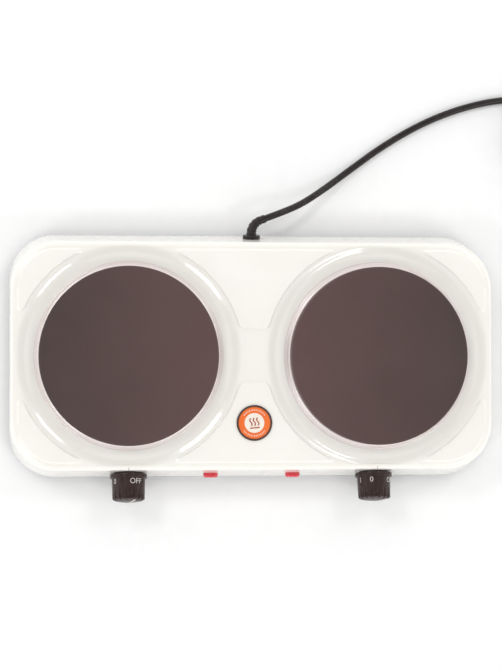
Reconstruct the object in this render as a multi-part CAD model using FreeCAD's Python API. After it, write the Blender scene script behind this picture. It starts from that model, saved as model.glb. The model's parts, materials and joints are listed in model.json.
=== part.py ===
import FreeCAD, Part
import math
import os

from FreeCAD import Vector

# Double electric hot plate with two equal cast-iron plates, in millimetres, +Z up, front of the
# appliance towards -Y. Every piece is drawn about the middle of the housing; at the end the whole
# assembly moves along Y, so that the origin lies under the middle of it with its knobs.

# ---------------------------------------------------------------- driving dimensions
# housing: one pressed, enamelled steel pan, open underneath
rim_length = 512.0            # left to right at the lower rim
rim_depth = 257.0             # front to back at the lower rim
rim_corner_radius = 48.0
rim_z = 10.0                  # lower edge of the pan
deck_z = 60.0                 # flat top of the pan
side_draft = 5.0              # degrees the side walls lean inward
front_draft = 12.0            # degrees the front and back walls lean inward
deck_edge_radius = 6.0
sheet = 0.8                   # steel thickness of the pan
pad_height = 1.6              # raised panels between and outside the wells
pad_margin = 6.5              # from the sharp deck edge to the panels
pad_tip_radius = 5.0
centre_gap = 27.0             # half width of the low waist between the middle panels
side_gap = 44.0               # half width of the low strip at each end
well_margin = 18.5            # from the trim ring out to the edge of the round dish pressed around a plate
well_depth = 3.0
well_slope_width = 10.0
rim_flange_width = 9.0        # inward flange that the cover screws hold

# cast-iron plates and what clamps them
plate_pitch = 260.0           # between the two plate axes
plate_radius = 92.5
plate_rise = 14.0             # plate top above the deck
plate_side_height = 12.0      # from the top down to the shoulder
plate_edge_radius = 2.0
shoulder_width = 6.5          # plate radius less the spigot's
spigot_height = 8.0           # below the shoulder
plate_skin = 7.0              # iron above the heater groove
groove_wall = 4.0
boss_radius = 20.0
ring_band = 6.0               # how far the steel trim ring shows around the plate
ring_sheet = 1.0
ring_foot = 1.5
ring_shelf = 1.2              # flat of the trim ring past the plate's rim
opening_clearance = 1.0
coil_ring_margin = 18.0       # from either side of the groove to the nearest ring of wire
coil_wire_envelope = 3.2      # radius of the wound wire
fill_depth = 8.0
heat_shield_sheet = 0.8
stud_radius = 4.0
stud_length = 28.0
stud_depth = 11.0             # how deep the stud sits in the boss
strap_width = 30.0
strap_sheet = 2.0
strap_drop = 8.0
strap_tab = 8.0
strap_offset = 3.0            # leg outside the opening's edge
washer_radius = 9.0
washer_sheet = 1.6
nut_height = 6.5
nut_flats = 13.0
connector_length = 26.0
connector_width = 14.0
connector_height = 8.0
connector_margin = 24.0       # inside the spigot's edge, on the side towards the front
tab_width = 6.3
tab_sheet = 0.8
tab_length = 8.0

# controls on the sloped front wall
control_z = 33.0              # where both knob axes cross the wall
spindle_radius = 3.0
running_clearance = 0.05
bush_wall = 2.0
bush_flange_width = 3.0
bush_flange_depth = 5.5
bush_proud = 0.5
bracket_width = 38.0
bracket_height = 22.0
bracket_sheet = 1.5
control_screw_pitch = 28.0
control_screw_radius = 1.9
thermostat_width = 22.0
thermostat_height = 18.0
thermostat_depth = 24.0
cam_pocket_wall = 1.5         # pocket radius less the spindle's
cam_pocket_depth = 8.0
blade_width = 6.0
blade_sheet = 0.6
blade_length = 16.0
blade_pitch = 3.4
blade_step = 4.0              # how much shorter the outer blades are
knob_gap = 1.0                # between the wall and the knob's flange
knob_flange_radius = 19.5
knob_flange_depth = 4.5
knob_base_radius = 17.6
knob_face_radius = 16.8
knob_length = 27.0            # flange back to the edge of the face
knob_dome = 2.5
knob_flutes = 16
knob_flute_radius = 2.2
knob_flute_length = 12.0
knob_wall = 2.2
knob_hub_wall = 3.0
spindle_reach = 19.0          # past the wall, into the knob's hub
spindle_flat = 0.8            # how much the D-flat takes off
pointer_length = 11.0
pointer_width = 2.4
pointer_proud = 0.5
pointer_sink = 1.0            # below the edge of the knob's face
pointer_start = 3.0           # from the knob's axis
clip_sheet = 0.6
clip_width = 5.0
clip_gap = 3.0
clip_set_back = 2.0           # in front of the knob's skirt
knob_settings = {"left": 26.0, "right": 63.0}   # degrees each knob is drawn past off, clockwise

# indicator lamps
lamp_x = 43.5
lamp_z = 31.0
lens_length = 15.5
lens_height = 8.0
lens_proud = 4.6
stem_length = 12.0
stem_height = 5.5
stem_depth = 9.0
lamp_body_depth = 16.0
lamp_body_height = 8.0
lamp_body_length = 14.0
lamp_clip_sheet = 0.8
lamp_clip_margin = 2.5

# badge on the front middle panel
badge_inset = 48.2            # from the deck's front edge
badge_radius = 18.6
badge_rim_width = 1.3
badge_height = 1.4
badge_centre_radius = 10.4
badge_centre_height = 0.5
badge_band_drop = 0.3         # the printed band lies below the rim
badge_print_gap = 0.02
wave_rise = 2.64              # from the emblem's bar to the feet of the waves
emblem_height = 0.4
wave_gap = 3.6
wave_swing = 1.0
wave_length = 8.0
wave_width = 1.1
emblem_bar_length = 10.0
emblem_drop = 5.6

# cover, feet and fasteners underneath
cover_recess = 2.0            # the cover sits this far above the pan's rim
cover_sheet = 0.7
cover_clearance = 0.5
vent_length = 60.0
vent_width = 4.0
vent_pitch = 12.0
vents_per_plate = 7
foot_inset_x = 51.0           # from the rim's end
foot_inset_y = 42.5           # from the rim's front or back
foot_radius = 12.0
foot_top_radius = 10.0
foot_recess_radius = 5.5
foot_recess_depth = 5.0
foot_screw_radius = 2.0
foot_screw_head_radius = 3.8
foot_screw_head_height = 2.2
foot_nut_flats = 7.0
foot_nut_height = 3.0
cover_screw_radius = 1.9
cover_screw_head_radius = 3.6
cover_screw_head_height = 2.0
cover_screw_length = 8.0
screw_clearance = 0.1
cover_screw_inset = 86.0      # outer front and back screws, from the rim's end
cover_screw_edge = 5.0        # from the inside of the wall to the screw axis
end_screw_inset = 73.5        # end screws, from the rim's front or back

# mains lead
gland_z = 30.0
gland_neck_wall = 2.8
gland_flange_width = 2.8
gland_flange_depth = 4.2
gland_tail_depth = 9.0
relief_start_wall = 1.8
relief_end_wall = 0.7
relief_bend_radius = 15.0
relief_bend_angle = 70.0      # degrees to the right
relief_straight = 3.0
relief_end_straight = 5.0
relief_root = 1.5             # how far the relief starts inside the flange's face
relief_sections = 8
cord_diameter = 7.2
# the lead's places are X and Y from the end of the relief and Z from the surface
cord_route = ((18.4, 6.8, 28.0), (41.4, 17.3, 19.0), (67.4, 34.8, 9.0), (97.4, 57.3, 3.8),
              (132.4, 82.8, 3.6), (172.4, 106.3, 3.6), (213.4, 123.3, 3.6), (253.4, 133.3, 3.8))
coil_offset = (319.4, 92.8)
coil_mean_radius = 39.5
coil_edge = 0.8               # bevel along the coil's edges, in cord radii
lead_in = 32.0                # straight end where the lead joins the outer turn
lead_out = 34.0               # straight end where it leaves the top turn
tail_route = ((359.4, 44.3, 12.6), (360.4, 31.3, 16.4))
tie_angle = 200.0             # degrees around the coil
tie_width = 9.0
tie_sheet = 0.8               # the coil rests on the tie
tie_clearance = 0.35
plug_radius = 18.5
plug_face_depth = 12.0
plug_grip_length = 30.0
plug_shoulder = 3.0
plug_grip_radius = 12.0
plug_grip_end_radius = 9.6
plug_neck_wall = 2.8
plug_neck_length = 14.0
plug_pin_radius = 2.4
plug_pin_length = 19.0
plug_pin_pitch = 19.0
plug_offset = (360.9, -37.7)  # middle of the plug's face

# mains connection inside
block_length = 34.0
block_width = 16.0
block_height = 14.0
block_reach = 32.0            # from the gland's seat to the block
block_screw_radius = 2.0
block_screw_height = 1.5
tail_length = 26.0
clamp_length = 16.0
clamp_width = 6.0
clamp_rise = 4.0
wire_radius = 1.4
wire_z = 20.0
wire_gap = 0.2
block_gap = 1.0
live_bends = ((30.0, 50.0), (88.0, 0.0))   # places outward from the middle and back, for each side's wire
neutral_bends = ((12.0, 30.0), (60.0, -40.0))
tab_approach_y = -66.0        # where a wire turns up to a plate's tab
tab_approach_rise = 4.0
live_approach_y = -50.0       # where a wire turns up to a thermostat
switched_bend = (9.0, -1.0)   # back and up from the blade
switched_approach = (-58.0, 30.0)          # back and up, below the tab
lamp_bend = (12.0, -2.0)      # back and up from the lamp
lamp_pass = (80.0, -74.0, 19.0)
lamp_approach = (-66.0, 17.0) # back and up, behind the thermostat
earth_bends = (-10.0, 2.0, -12.0)          # across and back from the start, then back from the tag
earth_x = 44.0
tag_width = 8.0

# ---------------------------------------------------------------- worked-out places
height = deck_z - rim_z
cover_z = rim_z + cover_recess
plate_top_z = deck_z + plate_rise
spigot_radius = plate_radius - shoulder_width
ring_radius = plate_radius + ring_band
well_radius = ring_radius + well_margin
deck_half_length = rim_length / 2 - height * math.tan(math.radians(side_draft))
deck_half_depth = rim_depth / 2 - height * math.tan(math.radians(front_draft))
well_floor_z = deck_z - well_depth
shoulder_z = plate_top_z - plate_side_height
spigot_z = shoulder_z - spigot_height
groove_top_z = plate_top_z - plate_skin
opening_radius = spigot_radius + opening_clearance
groove_outer_radius = spigot_radius - groove_wall
coil_ring_radii = (boss_radius + coil_ring_margin, groove_outer_radius - coil_ring_margin)
connector_reach = spigot_radius - connector_margin
bush_radius = spindle_radius + bush_wall
bush_flange_radius = bush_radius + bush_flange_width
cam_pocket_radius = spindle_radius + cam_pocket_wall
knob_hub_radius = spindle_radius + knob_hub_wall
foot_x = rim_length / 2 - foot_inset_x
foot_y = rim_depth / 2 - foot_inset_y
badge_y = badge_inset - deck_half_depth
badge_z = deck_z + pad_height
floor_under_z = well_floor_z - sheet
plate_xs = {"left": -plate_pitch / 2, "right": plate_pitch / 2}
strap_top_z = floor_under_z - strap_drop
strap_under_z = strap_top_z - strap_sheet
cover_top_z = cover_z + cover_sheet
flange_top_z = cover_top_z + sheet
shield_z = spigot_z - heat_shield_sheet
control_y = -(rim_depth / 2 - (control_z - rim_z) * math.tan(math.radians(front_draft)))
lamp_y = -(rim_depth / 2 - (lamp_z - rim_z) * math.tan(math.radians(front_draft)))
gland_y = rim_depth / 2 - (gland_z - rim_z) * math.tan(math.radians(front_draft))
cord_radius = cord_diameter / 2
gland_neck_radius = cord_radius + gland_neck_wall
gland_flange_radius = gland_neck_radius + gland_flange_width
relief_start_radius = cord_radius + relief_start_wall
relief_end_radius = cord_radius + relief_end_wall
relief_y = gland_y + gland_flange_depth - relief_root
relief_bend = math.radians(relief_bend_angle)
relief_end_x = relief_bend_radius * (1 - math.cos(relief_bend)) + relief_end_straight * math.sin(relief_bend)
relief_end_y = (relief_y + relief_straight + relief_bend_radius * math.sin(relief_bend)
                + relief_end_straight * math.cos(relief_bend))
coil_x = relief_end_x + coil_offset[0]
coil_y = relief_end_y + coil_offset[1]
coil_lift = tie_sheet
coil_low_z = coil_lift + cord_radius
coil_high_z = coil_low_z + cord_diameter
coil_entry_y = coil_y + coil_mean_radius + cord_radius
coil_exit_x = coil_x + coil_mean_radius
plug_x = relief_end_x + plug_offset[0]
plug_face_y = relief_end_y + plug_offset[1]
plug_neck_radius = cord_radius + plug_neck_wall
plug_back_y = plug_face_y + plug_face_depth + plug_grip_length + plug_neck_length
block_back_y = gland_y - block_reach

nodes = {}


# ---------------------------------------------------------------- shared shapes
def half_length_at(z):
    """Half of the pan's outside length at a height."""
    return rim_length / 2 - (z - rim_z) * math.tan(math.radians(side_draft))


def half_depth_at(z):
    """Half of the pan's outside depth at a height."""
    return rim_depth / 2 - (z - rim_z) * math.tan(math.radians(front_draft))


def rounded_outline(half_x, half_y, radius, z):
    """Closed wire of a rectangle with round corners, centred on the Z axis."""
    k = radius * (1 - math.sqrt(0.5))
    corners = []
    for sx, sy in ((1, 1), (-1, 1), (-1, -1), (1, -1)):
        along_x = Vector(sx * (half_x - radius), sy * half_y, z)
        along_y = Vector(sx * half_x, sy * (half_y - radius), z)
        middle = Vector(sx * (half_x - k), sy * (half_y - k), z)
        corners.append((along_x, middle, along_y) if sx * sy < 0 else (along_y, middle, along_x))
    edges = []
    for i, (start, middle, end) in enumerate(corners):
        edges.append(Part.Arc(start, middle, end).toShape())
        edges.append(Part.LineSegment(end, corners[(i + 1) % 4][0]).toShape())
    return Part.Wire(edges)


def rounded_slab(half_x, half_y, radius, z0, z1):
    """Flat slab with a rounded outline."""
    face = Part.Face(rounded_outline(half_x, half_y, radius, z0))
    return face.extrude(Vector(0, 0, z1 - z0))


def pan_block(inset, z0, z1):
    """Solid block of the pan's outline drawn in by inset, from z0 up to z1."""
    wires = []
    for z in (z0, z1):
        wires.append(rounded_outline(half_length_at(z) - inset, half_depth_at(z) - inset,
                                     rim_corner_radius - inset, z))
    return Part.makeLoft(wires, True, True)


def cylinder(radius, z0, z1, x=0.0, y=0.0):
    """Upright cylinder between two heights."""
    return Part.makeCylinder(radius, z1 - z0, Vector(x, y, z0))


def box(x0, x1, y0, y1, z0, z1):
    """Box between opposite corners."""
    return Part.makeBox(x1 - x0, y1 - y0, z1 - z0, Vector(x0, y0, z0))


def turned(points, x=0.0, y=0.0):
    """Solid of revolution about an upright axis, from (radius, z) points."""
    corners = [Vector(r, 0, z) for r, z in points]
    face = Part.Face(Part.makePolygon(corners + corners[:1]))
    solid = face.revolve(Vector(0, 0, 0), Vector(0, 0, 1), 360)
    solid.translate(Vector(x, y, 0))
    return solid


def hexagon(flats, z0, z1, x=0.0, y=0.0):
    """Hexagonal prism, measured across its flats."""
    reach = flats / math.sqrt(3)
    corners = []
    for i in range(7):
        angle = math.radians(60 * i)
        corners.append(Vector(x + reach * math.cos(angle), y + reach * math.sin(angle), z0))
    return Part.Face(Part.makePolygon(corners)).extrude(Vector(0, 0, z1 - z0))


def stadium(length, width, z0, z1):
    """Flat slab with half-round ends, long along X."""
    reach = (length - width) / 2
    body = box(-reach, reach, -width / 2, width / 2, z0, z1)
    ends = [cylinder(width / 2, z0, z1, -reach), cylinder(width / 2, z0, z1, reach)]
    return body.fuse(ends).removeSplitter()


def on_wall(shape, x, y, z, angle):
    """Moves a shape from its own frame, +Z outward, onto a sloped wall; angle turns it about Z."""
    placed = shape.copy()
    placed.rotate(Vector(0, 0, 0), Vector(1, 0, 0), 90 - front_draft)
    placed.rotate(Vector(0, 0, 0), Vector(0, 0, 1), angle)
    placed.translate(Vector(x, y, z))
    return placed


def on_front(shape, x, y, z):
    """Sets a shape drawn with +Z outward on the front wall."""
    return on_wall(shape, x, y, z, 0)


def on_back(shape, x, y, z):
    """Sets a shape drawn with +Z outward on the back wall."""
    return on_wall(shape, x, y, z, 180)


def group(shapes):
    """Several separate solids kept as one node."""
    return Part.makeCompound(shapes)


def routed_tube(points, radius, name=None):
    """Tube along straight runs joined by tangent arcs as large as the runs allow."""
    edges = []
    radii = []
    start = points[0]
    for i in range(1, len(points) - 1):
        before = points[i] - points[i - 1]
        after = points[i + 1] - points[i]
        turn = before.getAngle(after)
        shorter = min(before.Length, after.Length)
        bend = 0.45 * shorter / math.tan(turn / 2)
        trim = 0.45 * shorter
        arc_start = points[i] - before.normalize() * trim
        arc_end = points[i] + after.normalize() * trim
        inward = (after - before).normalize()
        to_centre = bend / math.cos(turn / 2)
        middle = points[i] + inward * (to_centre - bend)
        edges.append(Part.LineSegment(start, arc_start).toShape())
        edges.append(Part.Arc(arc_start, middle, arc_end).toShape())
        radii.append(bend)
        start = arc_end
    edges.append(Part.LineSegment(start, points[-1]).toShape())
    path = Part.Wire(edges)
    first = points[1] - points[0]
    section = Part.Wire(Part.makeCircle(radius, points[0], first))
    tube = path.makePipeShell([section], True, False)
    if name:
        expected = math.pi * radius * radius * path.Length
        print(name, "length", round(path.Length, 1), "radii", [round(r, 1) for r in radii],
              "volume", round(tube.Volume), "section x length", round(expected))
    return tube


# ---------------------------------------------------------------- pressed housing
def raised_faces(shrink, z):
    """The six raised panels of the deck: four corners and two in the middle."""
    outline = Part.Face(rounded_outline(deck_half_length - pad_margin, deck_half_depth - pad_margin,
                                        rim_corner_radius - pad_margin, 0))
    tall = deck_z
    cutters = [cylinder(well_radius, -tall, tall, x) for x in plate_xs.values()]
    cutters.append(box(-plate_pitch / 2, plate_pitch / 2, -centre_gap, centre_gap, -tall, tall))
    for side in (-1, 1):
        inner = side * plate_pitch / 2
        outer = side * rim_length
        cutters.append(box(min(inner, outer), max(inner, outer), -side_gap, side_gap, -tall, tall))
    panels = outline.cut(cutters)
    faces = []
    for face in panels.Faces:
        narrowed = face.OuterWire.makeOffset2D(-pad_tip_radius - shrink)
        for wire in narrowed.Wires:
            panel = Part.Face(wire.makeOffset2D(pad_tip_radius).Wires)
            panel.translate(Vector(0, 0, z))
            faces.append(panel)
    return faces


def well_cutter(x, lower):
    """What the press takes out of the deck around one plate."""
    floor = well_floor_z - lower
    top = deck_z - lower
    clear = deck_z + plate_top_z
    return turned([(0, floor), (well_radius - well_slope_width, floor), (well_radius, top),
                   (well_radius, clear), (0, clear)], x)


def deck_shape(inset, z0, lower):
    """Closed block under the pan's outer or inner skin."""
    top = deck_z - lower
    block = pan_block(inset, z0, top)
    rim = [e for e in block.Edges if e.BoundBox.ZMin > top - 0.01]
    block = block.makeFillet(deck_edge_radius - inset, rim)
    panels = [f.extrude(Vector(0, 0, pad_height + sheet)) for f in raised_faces(inset, top - sheet)]
    block = block.fuse(panels)
    return block.cut([well_cutter(x, lower) for x in plate_xs.values()])


def top_housing():
    """Pressed steel pan with its wells, panels, openings and inward flange."""
    skin = deck_shape(0, rim_z, 0)
    hollow = deck_shape(sheet, rim_z - sheet, sheet)
    pan = skin.cut(hollow)
    flange = pan_block(sheet / 2, cover_top_z, flange_top_z)
    inner_x = half_length_at(cover_top_z) - sheet - rim_flange_width
    inner_y = half_depth_at(cover_top_z) - sheet - rim_flange_width
    window = rounded_slab(inner_x, inner_y, rim_corner_radius - sheet - rim_flange_width,
                          cover_z, flange_top_z + sheet)
    pan = pan.fuse(flange.cut(window))
    cutters = []
    for x in plate_xs.values():
        cutters.append(cylinder(opening_radius, spigot_z, deck_z + sheet, x))
        hole = cylinder(bush_radius + opening_clearance / 2, -3 * sheet, 3 * sheet)
        cutters.append(on_front(hole, x, control_y, control_z))
        for side in (-1, 1):
            hole = cylinder(control_screw_radius + screw_clearance, -3 * sheet, 3 * sheet,
                            side * control_screw_pitch / 2)
            cutters.append(on_front(hole, x, control_y, control_z))
    for side in (-1, 1):
        hole = stadium(stem_length + screw_clearance * 2, stem_height + screw_clearance * 2,
                       -3 * sheet, 3 * sheet)
        cutters.append(on_front(hole, side * lamp_x, lamp_y, lamp_z))
    hole = cylinder(gland_neck_radius + screw_clearance, -3 * sheet, 3 * sheet)
    cutters.append(on_back(hole, 0, gland_y, gland_z))
    for x, y in cover_screw_places():
        cutters.append(cylinder(cover_screw_radius + screw_clearance, cover_z, flange_top_z + sheet, x, y))
    return pan.cut(cutters)


# ---------------------------------------------------------------- cover and feet
def cover_screw_places():
    """Ten screws: three along the front and the back, two at each end."""
    y = half_depth_at(cover_top_z) - sheet - cover_screw_edge
    x_end = half_length_at(cover_top_z) - sheet - cover_screw_edge
    end_screw_y = rim_depth / 2 - end_screw_inset
    places = []
    for i in (-1, 0, 1):
        x = i * (rim_length / 2 - cover_screw_inset)
        places.append((x, y))
        places.append((x, -y))
    for side in (-1, 1):
        places.append((side * x_end, -end_screw_y))
        places.append((side * x_end, end_screw_y))
    return places


def foot_places():
    """The four feet."""
    return [(sx * foot_x, sy * foot_y) for sx in (-1, 1) for sy in (-1, 1)]


def bottom_cover():
    """Flat steel cover with vent slots under each plate."""
    half_x = half_length_at(cover_top_z) - sheet - cover_clearance
    half_y = half_depth_at(cover_top_z) - sheet - cover_clearance
    cover = rounded_slab(half_x, half_y, rim_corner_radius - sheet - cover_clearance,
                         cover_z, cover_top_z)
    cutters = []
    for x, y in cover_screw_places():
        cutters.append(cylinder(cover_screw_radius + screw_clearance, cover_z - 1, cover_top_z + 1, x, y))
    for x, y in foot_places():
        cutters.append(cylinder(foot_screw_radius + screw_clearance, cover_z - 1, cover_top_z + 1, x, y))
    for x in plate_xs.values():
        for i in range(vents_per_plate):
            y = (i - (vents_per_plate - 1) / 2) * vent_pitch
            slot = stadium(vent_length, vent_width, cover_z - 1, cover_top_z + 1)
            slot.translate(Vector(x, y, 0))
            cutters.append(slot)
    return cover.cut(cutters)


def feet():
    """Four rubber feet, each with a counterbore for its screw."""
    solids = []
    for x, y in foot_places():
        foot = turned([(0, 0), (foot_radius, 0), (foot_top_radius, cover_z), (0, cover_z)], x, y)
        foot = foot.cut([cylinder(foot_recess_radius, -1, foot_recess_depth, x, y),
                         cylinder(foot_screw_radius + screw_clearance, 0, cover_z + 1, x, y)])
        solids.append(foot)
    return group(solids)


def foot_screws():
    """Machine screws from inside each foot's recess up through the cover."""
    top = cover_top_z + foot_nut_height + 1
    solids = []
    for x, y in foot_places():
        head = cylinder(foot_screw_head_radius, foot_recess_depth - foot_screw_head_height,
                        foot_recess_depth, x, y)
        solids.append(head.fuse(cylinder(foot_screw_radius, foot_recess_depth, top, x, y)))
    return group(solids)


def foot_nuts():
    """Nuts of the foot screws, on the inside of the cover."""
    solids = []
    for x, y in foot_places():
        nut = hexagon(foot_nut_flats, cover_top_z, cover_top_z + foot_nut_height, x, y)
        solids.append(nut.cut(cylinder(foot_screw_radius + running_clearance, cover_z,
                                       cover_top_z + 2 * foot_nut_height, x, y)))
    return group(solids)


def cover_screws():
    """Pan-head screws that hold the cover to the pan's flange."""
    solids = []
    for x, y in cover_screw_places():
        head = cylinder(cover_screw_head_radius, cover_z - cover_screw_head_height, cover_z, x, y)
        shank = cylinder(cover_screw_radius, cover_z, cover_z + cover_screw_length, x, y)
        solids.append(head.fuse(shank))
    return group(solids)


# ---------------------------------------------------------------- plates
def hot_plate(x):
    """Cast-iron plate: thick top, shoulder, spigot, heater groove and threaded boss."""
    r0 = plate_radius - plate_edge_radius
    profile = [(0, spigot_z), (boss_radius, spigot_z), (boss_radius, groove_top_z),
               (groove_outer_radius, groove_top_z), (groove_outer_radius, spigot_z),
               (spigot_radius, spigot_z), (spigot_radius, shoulder_z), (plate_radius, shoulder_z),
               (plate_radius, plate_top_z - plate_edge_radius), (r0, plate_top_z), (0, plate_top_z)]
    plate = turned(profile, x)
    return plate.cut(cylinder(stud_radius + running_clearance, spigot_z - 1, spigot_z + stud_depth, x))


def trim_ring(x):
    """Bright stepped ring between the plate's shoulder and the well floor."""
    top = shoulder_z
    inner = spigot_radius + opening_clearance / 2
    flat_end = plate_radius + ring_shelf
    foot = ring_radius - ring_foot
    foot_top = well_floor_z + ring_sheet
    return turned([(inner, top - ring_sheet), (inner, top), (flat_end, top), (foot, foot_top),
                   (ring_radius, foot_top), (ring_radius, well_floor_z), (foot - ring_sheet, well_floor_z),
                   (flat_end - ring_sheet / 2, top - ring_sheet)], x)


def heater_coils(x, extra):
    """The two rings of wound resistance wire, drawn as their round envelope."""
    rings = []
    centre_z = groove_top_z - fill_depth / 2
    for radius in coil_ring_radii:
        rings.append(Part.makeTorus(radius, coil_wire_envelope + extra, Vector(x, 0, centre_z)))
    return rings


def ceramic_fill(x):
    """Pressed magnesia that holds the wire in the plate's groove."""
    inner = boss_radius + screw_clearance
    outer = groove_outer_radius - screw_clearance
    bottom = groove_top_z - fill_depth
    body = turned([(inner, bottom), (outer, bottom), (outer, groove_top_z), (inner, groove_top_z)], x)
    return body.cut(heater_coils(x, running_clearance))


def heat_shield(x):
    """Thin steel disc that closes the groove from below."""
    disc = cylinder(spigot_radius - groove_wall / 2, shield_z, spigot_z, x)
    return disc.cut(cylinder(stud_radius + 2 * screw_clearance, shield_z - 1, spigot_z + 1, x))


def centre_stud(x):
    """Threaded stud in the plate's boss."""
    top = spigot_z + stud_depth
    return cylinder(stud_radius, top - stud_length, top, x)


def clamp_strap(x):
    """Bent steel strap that pulls the plate down on the pan."""
    leg = opening_radius + strap_offset
    half = strap_width / 2
    parts = [box(-leg - strap_sheet, leg + strap_sheet, -half, half, strap_under_z, strap_top_z)]
    for side in (-1, 1):
        a, b = sorted((side * leg, side * (leg + strap_sheet)))
        parts.append(box(a, b, -half, half, strap_under_z, floor_under_z))
        a, b = sorted((side * leg, side * (leg + strap_tab)))
        parts.append(box(a, b, -half, half, floor_under_z - strap_sheet, floor_under_z))
    strap = parts[0].fuse(parts[1:]).removeSplitter()
    strap = strap.cut(cylinder(stud_radius + 2 * screw_clearance, strap_under_z - 1, strap_top_z + 1))
    strap.translate(Vector(x, 0, 0))
    return strap


def stud_nut(x):
    """Washer and nut under the strap, as two solids."""
    hole = cylinder(stud_radius + running_clearance, 0, spigot_z, x)
    washer = cylinder(washer_radius, strap_under_z - washer_sheet, strap_under_z, x).cut(hole)
    nut_top = strap_under_z - washer_sheet
    nut = hexagon(nut_flats, nut_top - nut_height, nut_top, x).cut(hole)
    return [washer, nut]


def plate_connector(x):
    """Ceramic terminal bead under the plate's front edge."""
    y = -connector_reach
    return box(x - connector_length / 2, x + connector_length / 2, y - connector_width / 2,
               y + connector_width / 2, shield_z - connector_height, shield_z)


def plate_tabs(x):
    """Two blade tabs that stand down from the ceramic bead."""
    z = shield_z - connector_height
    y = -connector_reach
    solids = []
    for side in (-1, 1):
        cx = x + side * connector_length / 4
        solids.append(box(cx - tab_width / 2, cx + tab_width / 2, y - tab_sheet / 2,
                          y + tab_sheet / 2, z - tab_length, z))
    return solids


# ---------------------------------------------------------------- controls
def thermostat_bracket(x):
    """Steel plate behind the front wall that carries the thermostat."""
    front = -sheet
    plate = box(-bracket_width / 2, bracket_width / 2, -bracket_height / 2, bracket_height / 2,
                front - bracket_sheet, front)
    holes = [cylinder(bush_radius + screw_clearance, -10, 10)]
    for side in (-1, 1):
        holes.append(cylinder(control_screw_radius + screw_clearance, -10, 10,
                              side * control_screw_pitch / 2))
    return on_front(plate.cut(holes), x, control_y, control_z)


def bush_back():
    """How far behind the wall the bush's flange ends."""
    return -sheet - bracket_sheet - bush_flange_depth


def thermostat_bush(x):
    """Brass bush that the spindle turns in."""
    back = bush_back()
    bush = cylinder(bush_flange_radius, back, -sheet - bracket_sheet)
    bush = bush.fuse(cylinder(bush_radius, back, bush_proud))
    bush = bush.cut(cylinder(spindle_radius + running_clearance, back - 1, bush_proud + 1))
    return on_front(bush, x, control_y, control_z)


def thermostat_body(x):
    """Steatite body of the thermostat with the cam pocket."""
    back = bush_back()
    body = box(-thermostat_width / 2, thermostat_width / 2, -thermostat_height / 2,
               thermostat_height / 2, back - thermostat_depth, back)
    body = body.cut(cylinder(cam_pocket_radius, back - cam_pocket_depth, back + 1))
    return on_front(body, x, control_y, control_z)


def thermostat_blades(x):
    """Contact blade, bimetal blade and output tab behind the body."""
    back = bush_back() - thermostat_depth
    solids = []
    for i in (-1, 0, 1):
        y = i * blade_pitch
        length = blade_length - abs(i) * blade_step
        solids.append(box(-blade_width / 2, blade_width / 2, y - blade_sheet / 2,
                          y + blade_sheet / 2, back - length, back))
    return on_front(group(solids), x, control_y, control_z)


def control_screws():
    """Four screws through the front wall into the brackets, hidden by the knobs' flanges."""
    solids = []
    for x in plate_xs.values():
        for side in (-1, 1):
            shank = cylinder(control_screw_radius, -sheet - 2 * bracket_sheet, 0,
                             side * control_screw_pitch / 2)
            head = cylinder(2 * control_screw_radius, 0, knob_gap * 0.7, side * control_screw_pitch / 2)
            solids.append(on_front(shank.fuse(head), x, control_y, control_z))
    return group(solids)


def spindle(x):
    """Steel spindle with a D-flat at its outer end."""
    inner = bush_back() - cam_pocket_depth / 2
    shaft = cylinder(spindle_radius, inner, spindle_reach)
    flat = box(-spindle_radius, spindle_radius, spindle_radius - spindle_flat,
               2 * spindle_radius, knob_gap + knob_flange_depth, spindle_reach + 1)
    return on_front(shaft.cut(flat), x, control_y, control_z)


def knob(x):
    """Hollow moulded knob: flange, smooth skirt, tapered flutes and domed face."""
    back = knob_gap
    face = back + knob_length
    skirt_z = back + knob_flange_depth
    body = turned([(0, back), (knob_flange_radius, back), (knob_flange_radius, skirt_z),
                   (knob_base_radius, skirt_z), (knob_face_radius, face), (0, face)])
    sphere_radius = (knob_face_radius ** 2 + knob_dome ** 2) / (2 * knob_dome)
    dome = Part.makeSphere(sphere_radius, Vector(0, 0, face + knob_dome - sphere_radius))
    body = body.fuse(dome.common(cylinder(knob_face_radius, face, face + knob_dome + 1)))
    flute_start = face - knob_flute_length
    lean = math.degrees(math.atan(knob_flute_radius / knob_flute_length))
    cutters = []
    for i in range(knob_flutes):
        groove = cylinder(knob_flute_radius, -2, knob_flute_length * 2)
        groove.rotate(Vector(0, 0, 0), Vector(0, 1, 0), -lean)
        groove.translate(Vector(knob_base_radius + knob_flute_radius, 0, flute_start))
        groove.rotate(Vector(0, 0, 0), Vector(0, 0, 1), (i + 0.5) * 360 / knob_flutes)
        cutters.append(groove)
    body = body.cut(cutters)
    hollow = turned([(knob_hub_radius, back - 1), (knob_base_radius - knob_wall - 1, back - 1),
                     (knob_face_radius - 2 * knob_wall - 1, face - knob_wall - 2),
                     (knob_hub_radius, face - knob_wall - 2)])
    bore = cylinder(spindle_radius + running_clearance, back - 1, spindle_reach + 1)
    key = box(-spindle_radius, spindle_radius, spindle_radius - spindle_flat + running_clearance,
              2 * spindle_radius, skirt_z, spindle_reach + 2)
    hub_recess = cylinder(knob_hub_radius + 1, back - 1, back + 1)
    body = body.cut([hollow, bore.cut(key), hub_recess])
    slot = pointer_slot(0.0, screw_clearance / 2)
    return on_front(body.cut(slot), x, control_y, control_z)


def pointer_slot(proud, clearance):
    """Bar across the top half of the knob's face, for the pointer or its slot."""
    face = knob_gap + knob_length
    bottom = face - pointer_sink
    top = face + knob_dome + proud
    half = pointer_width / 2 + clearance
    if not proud:
        top = top + knob_dome
    start = pointer_start - clearance
    end = pointer_start + pointer_length + clearance
    return box(-half, half, start, end, bottom, top)


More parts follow.
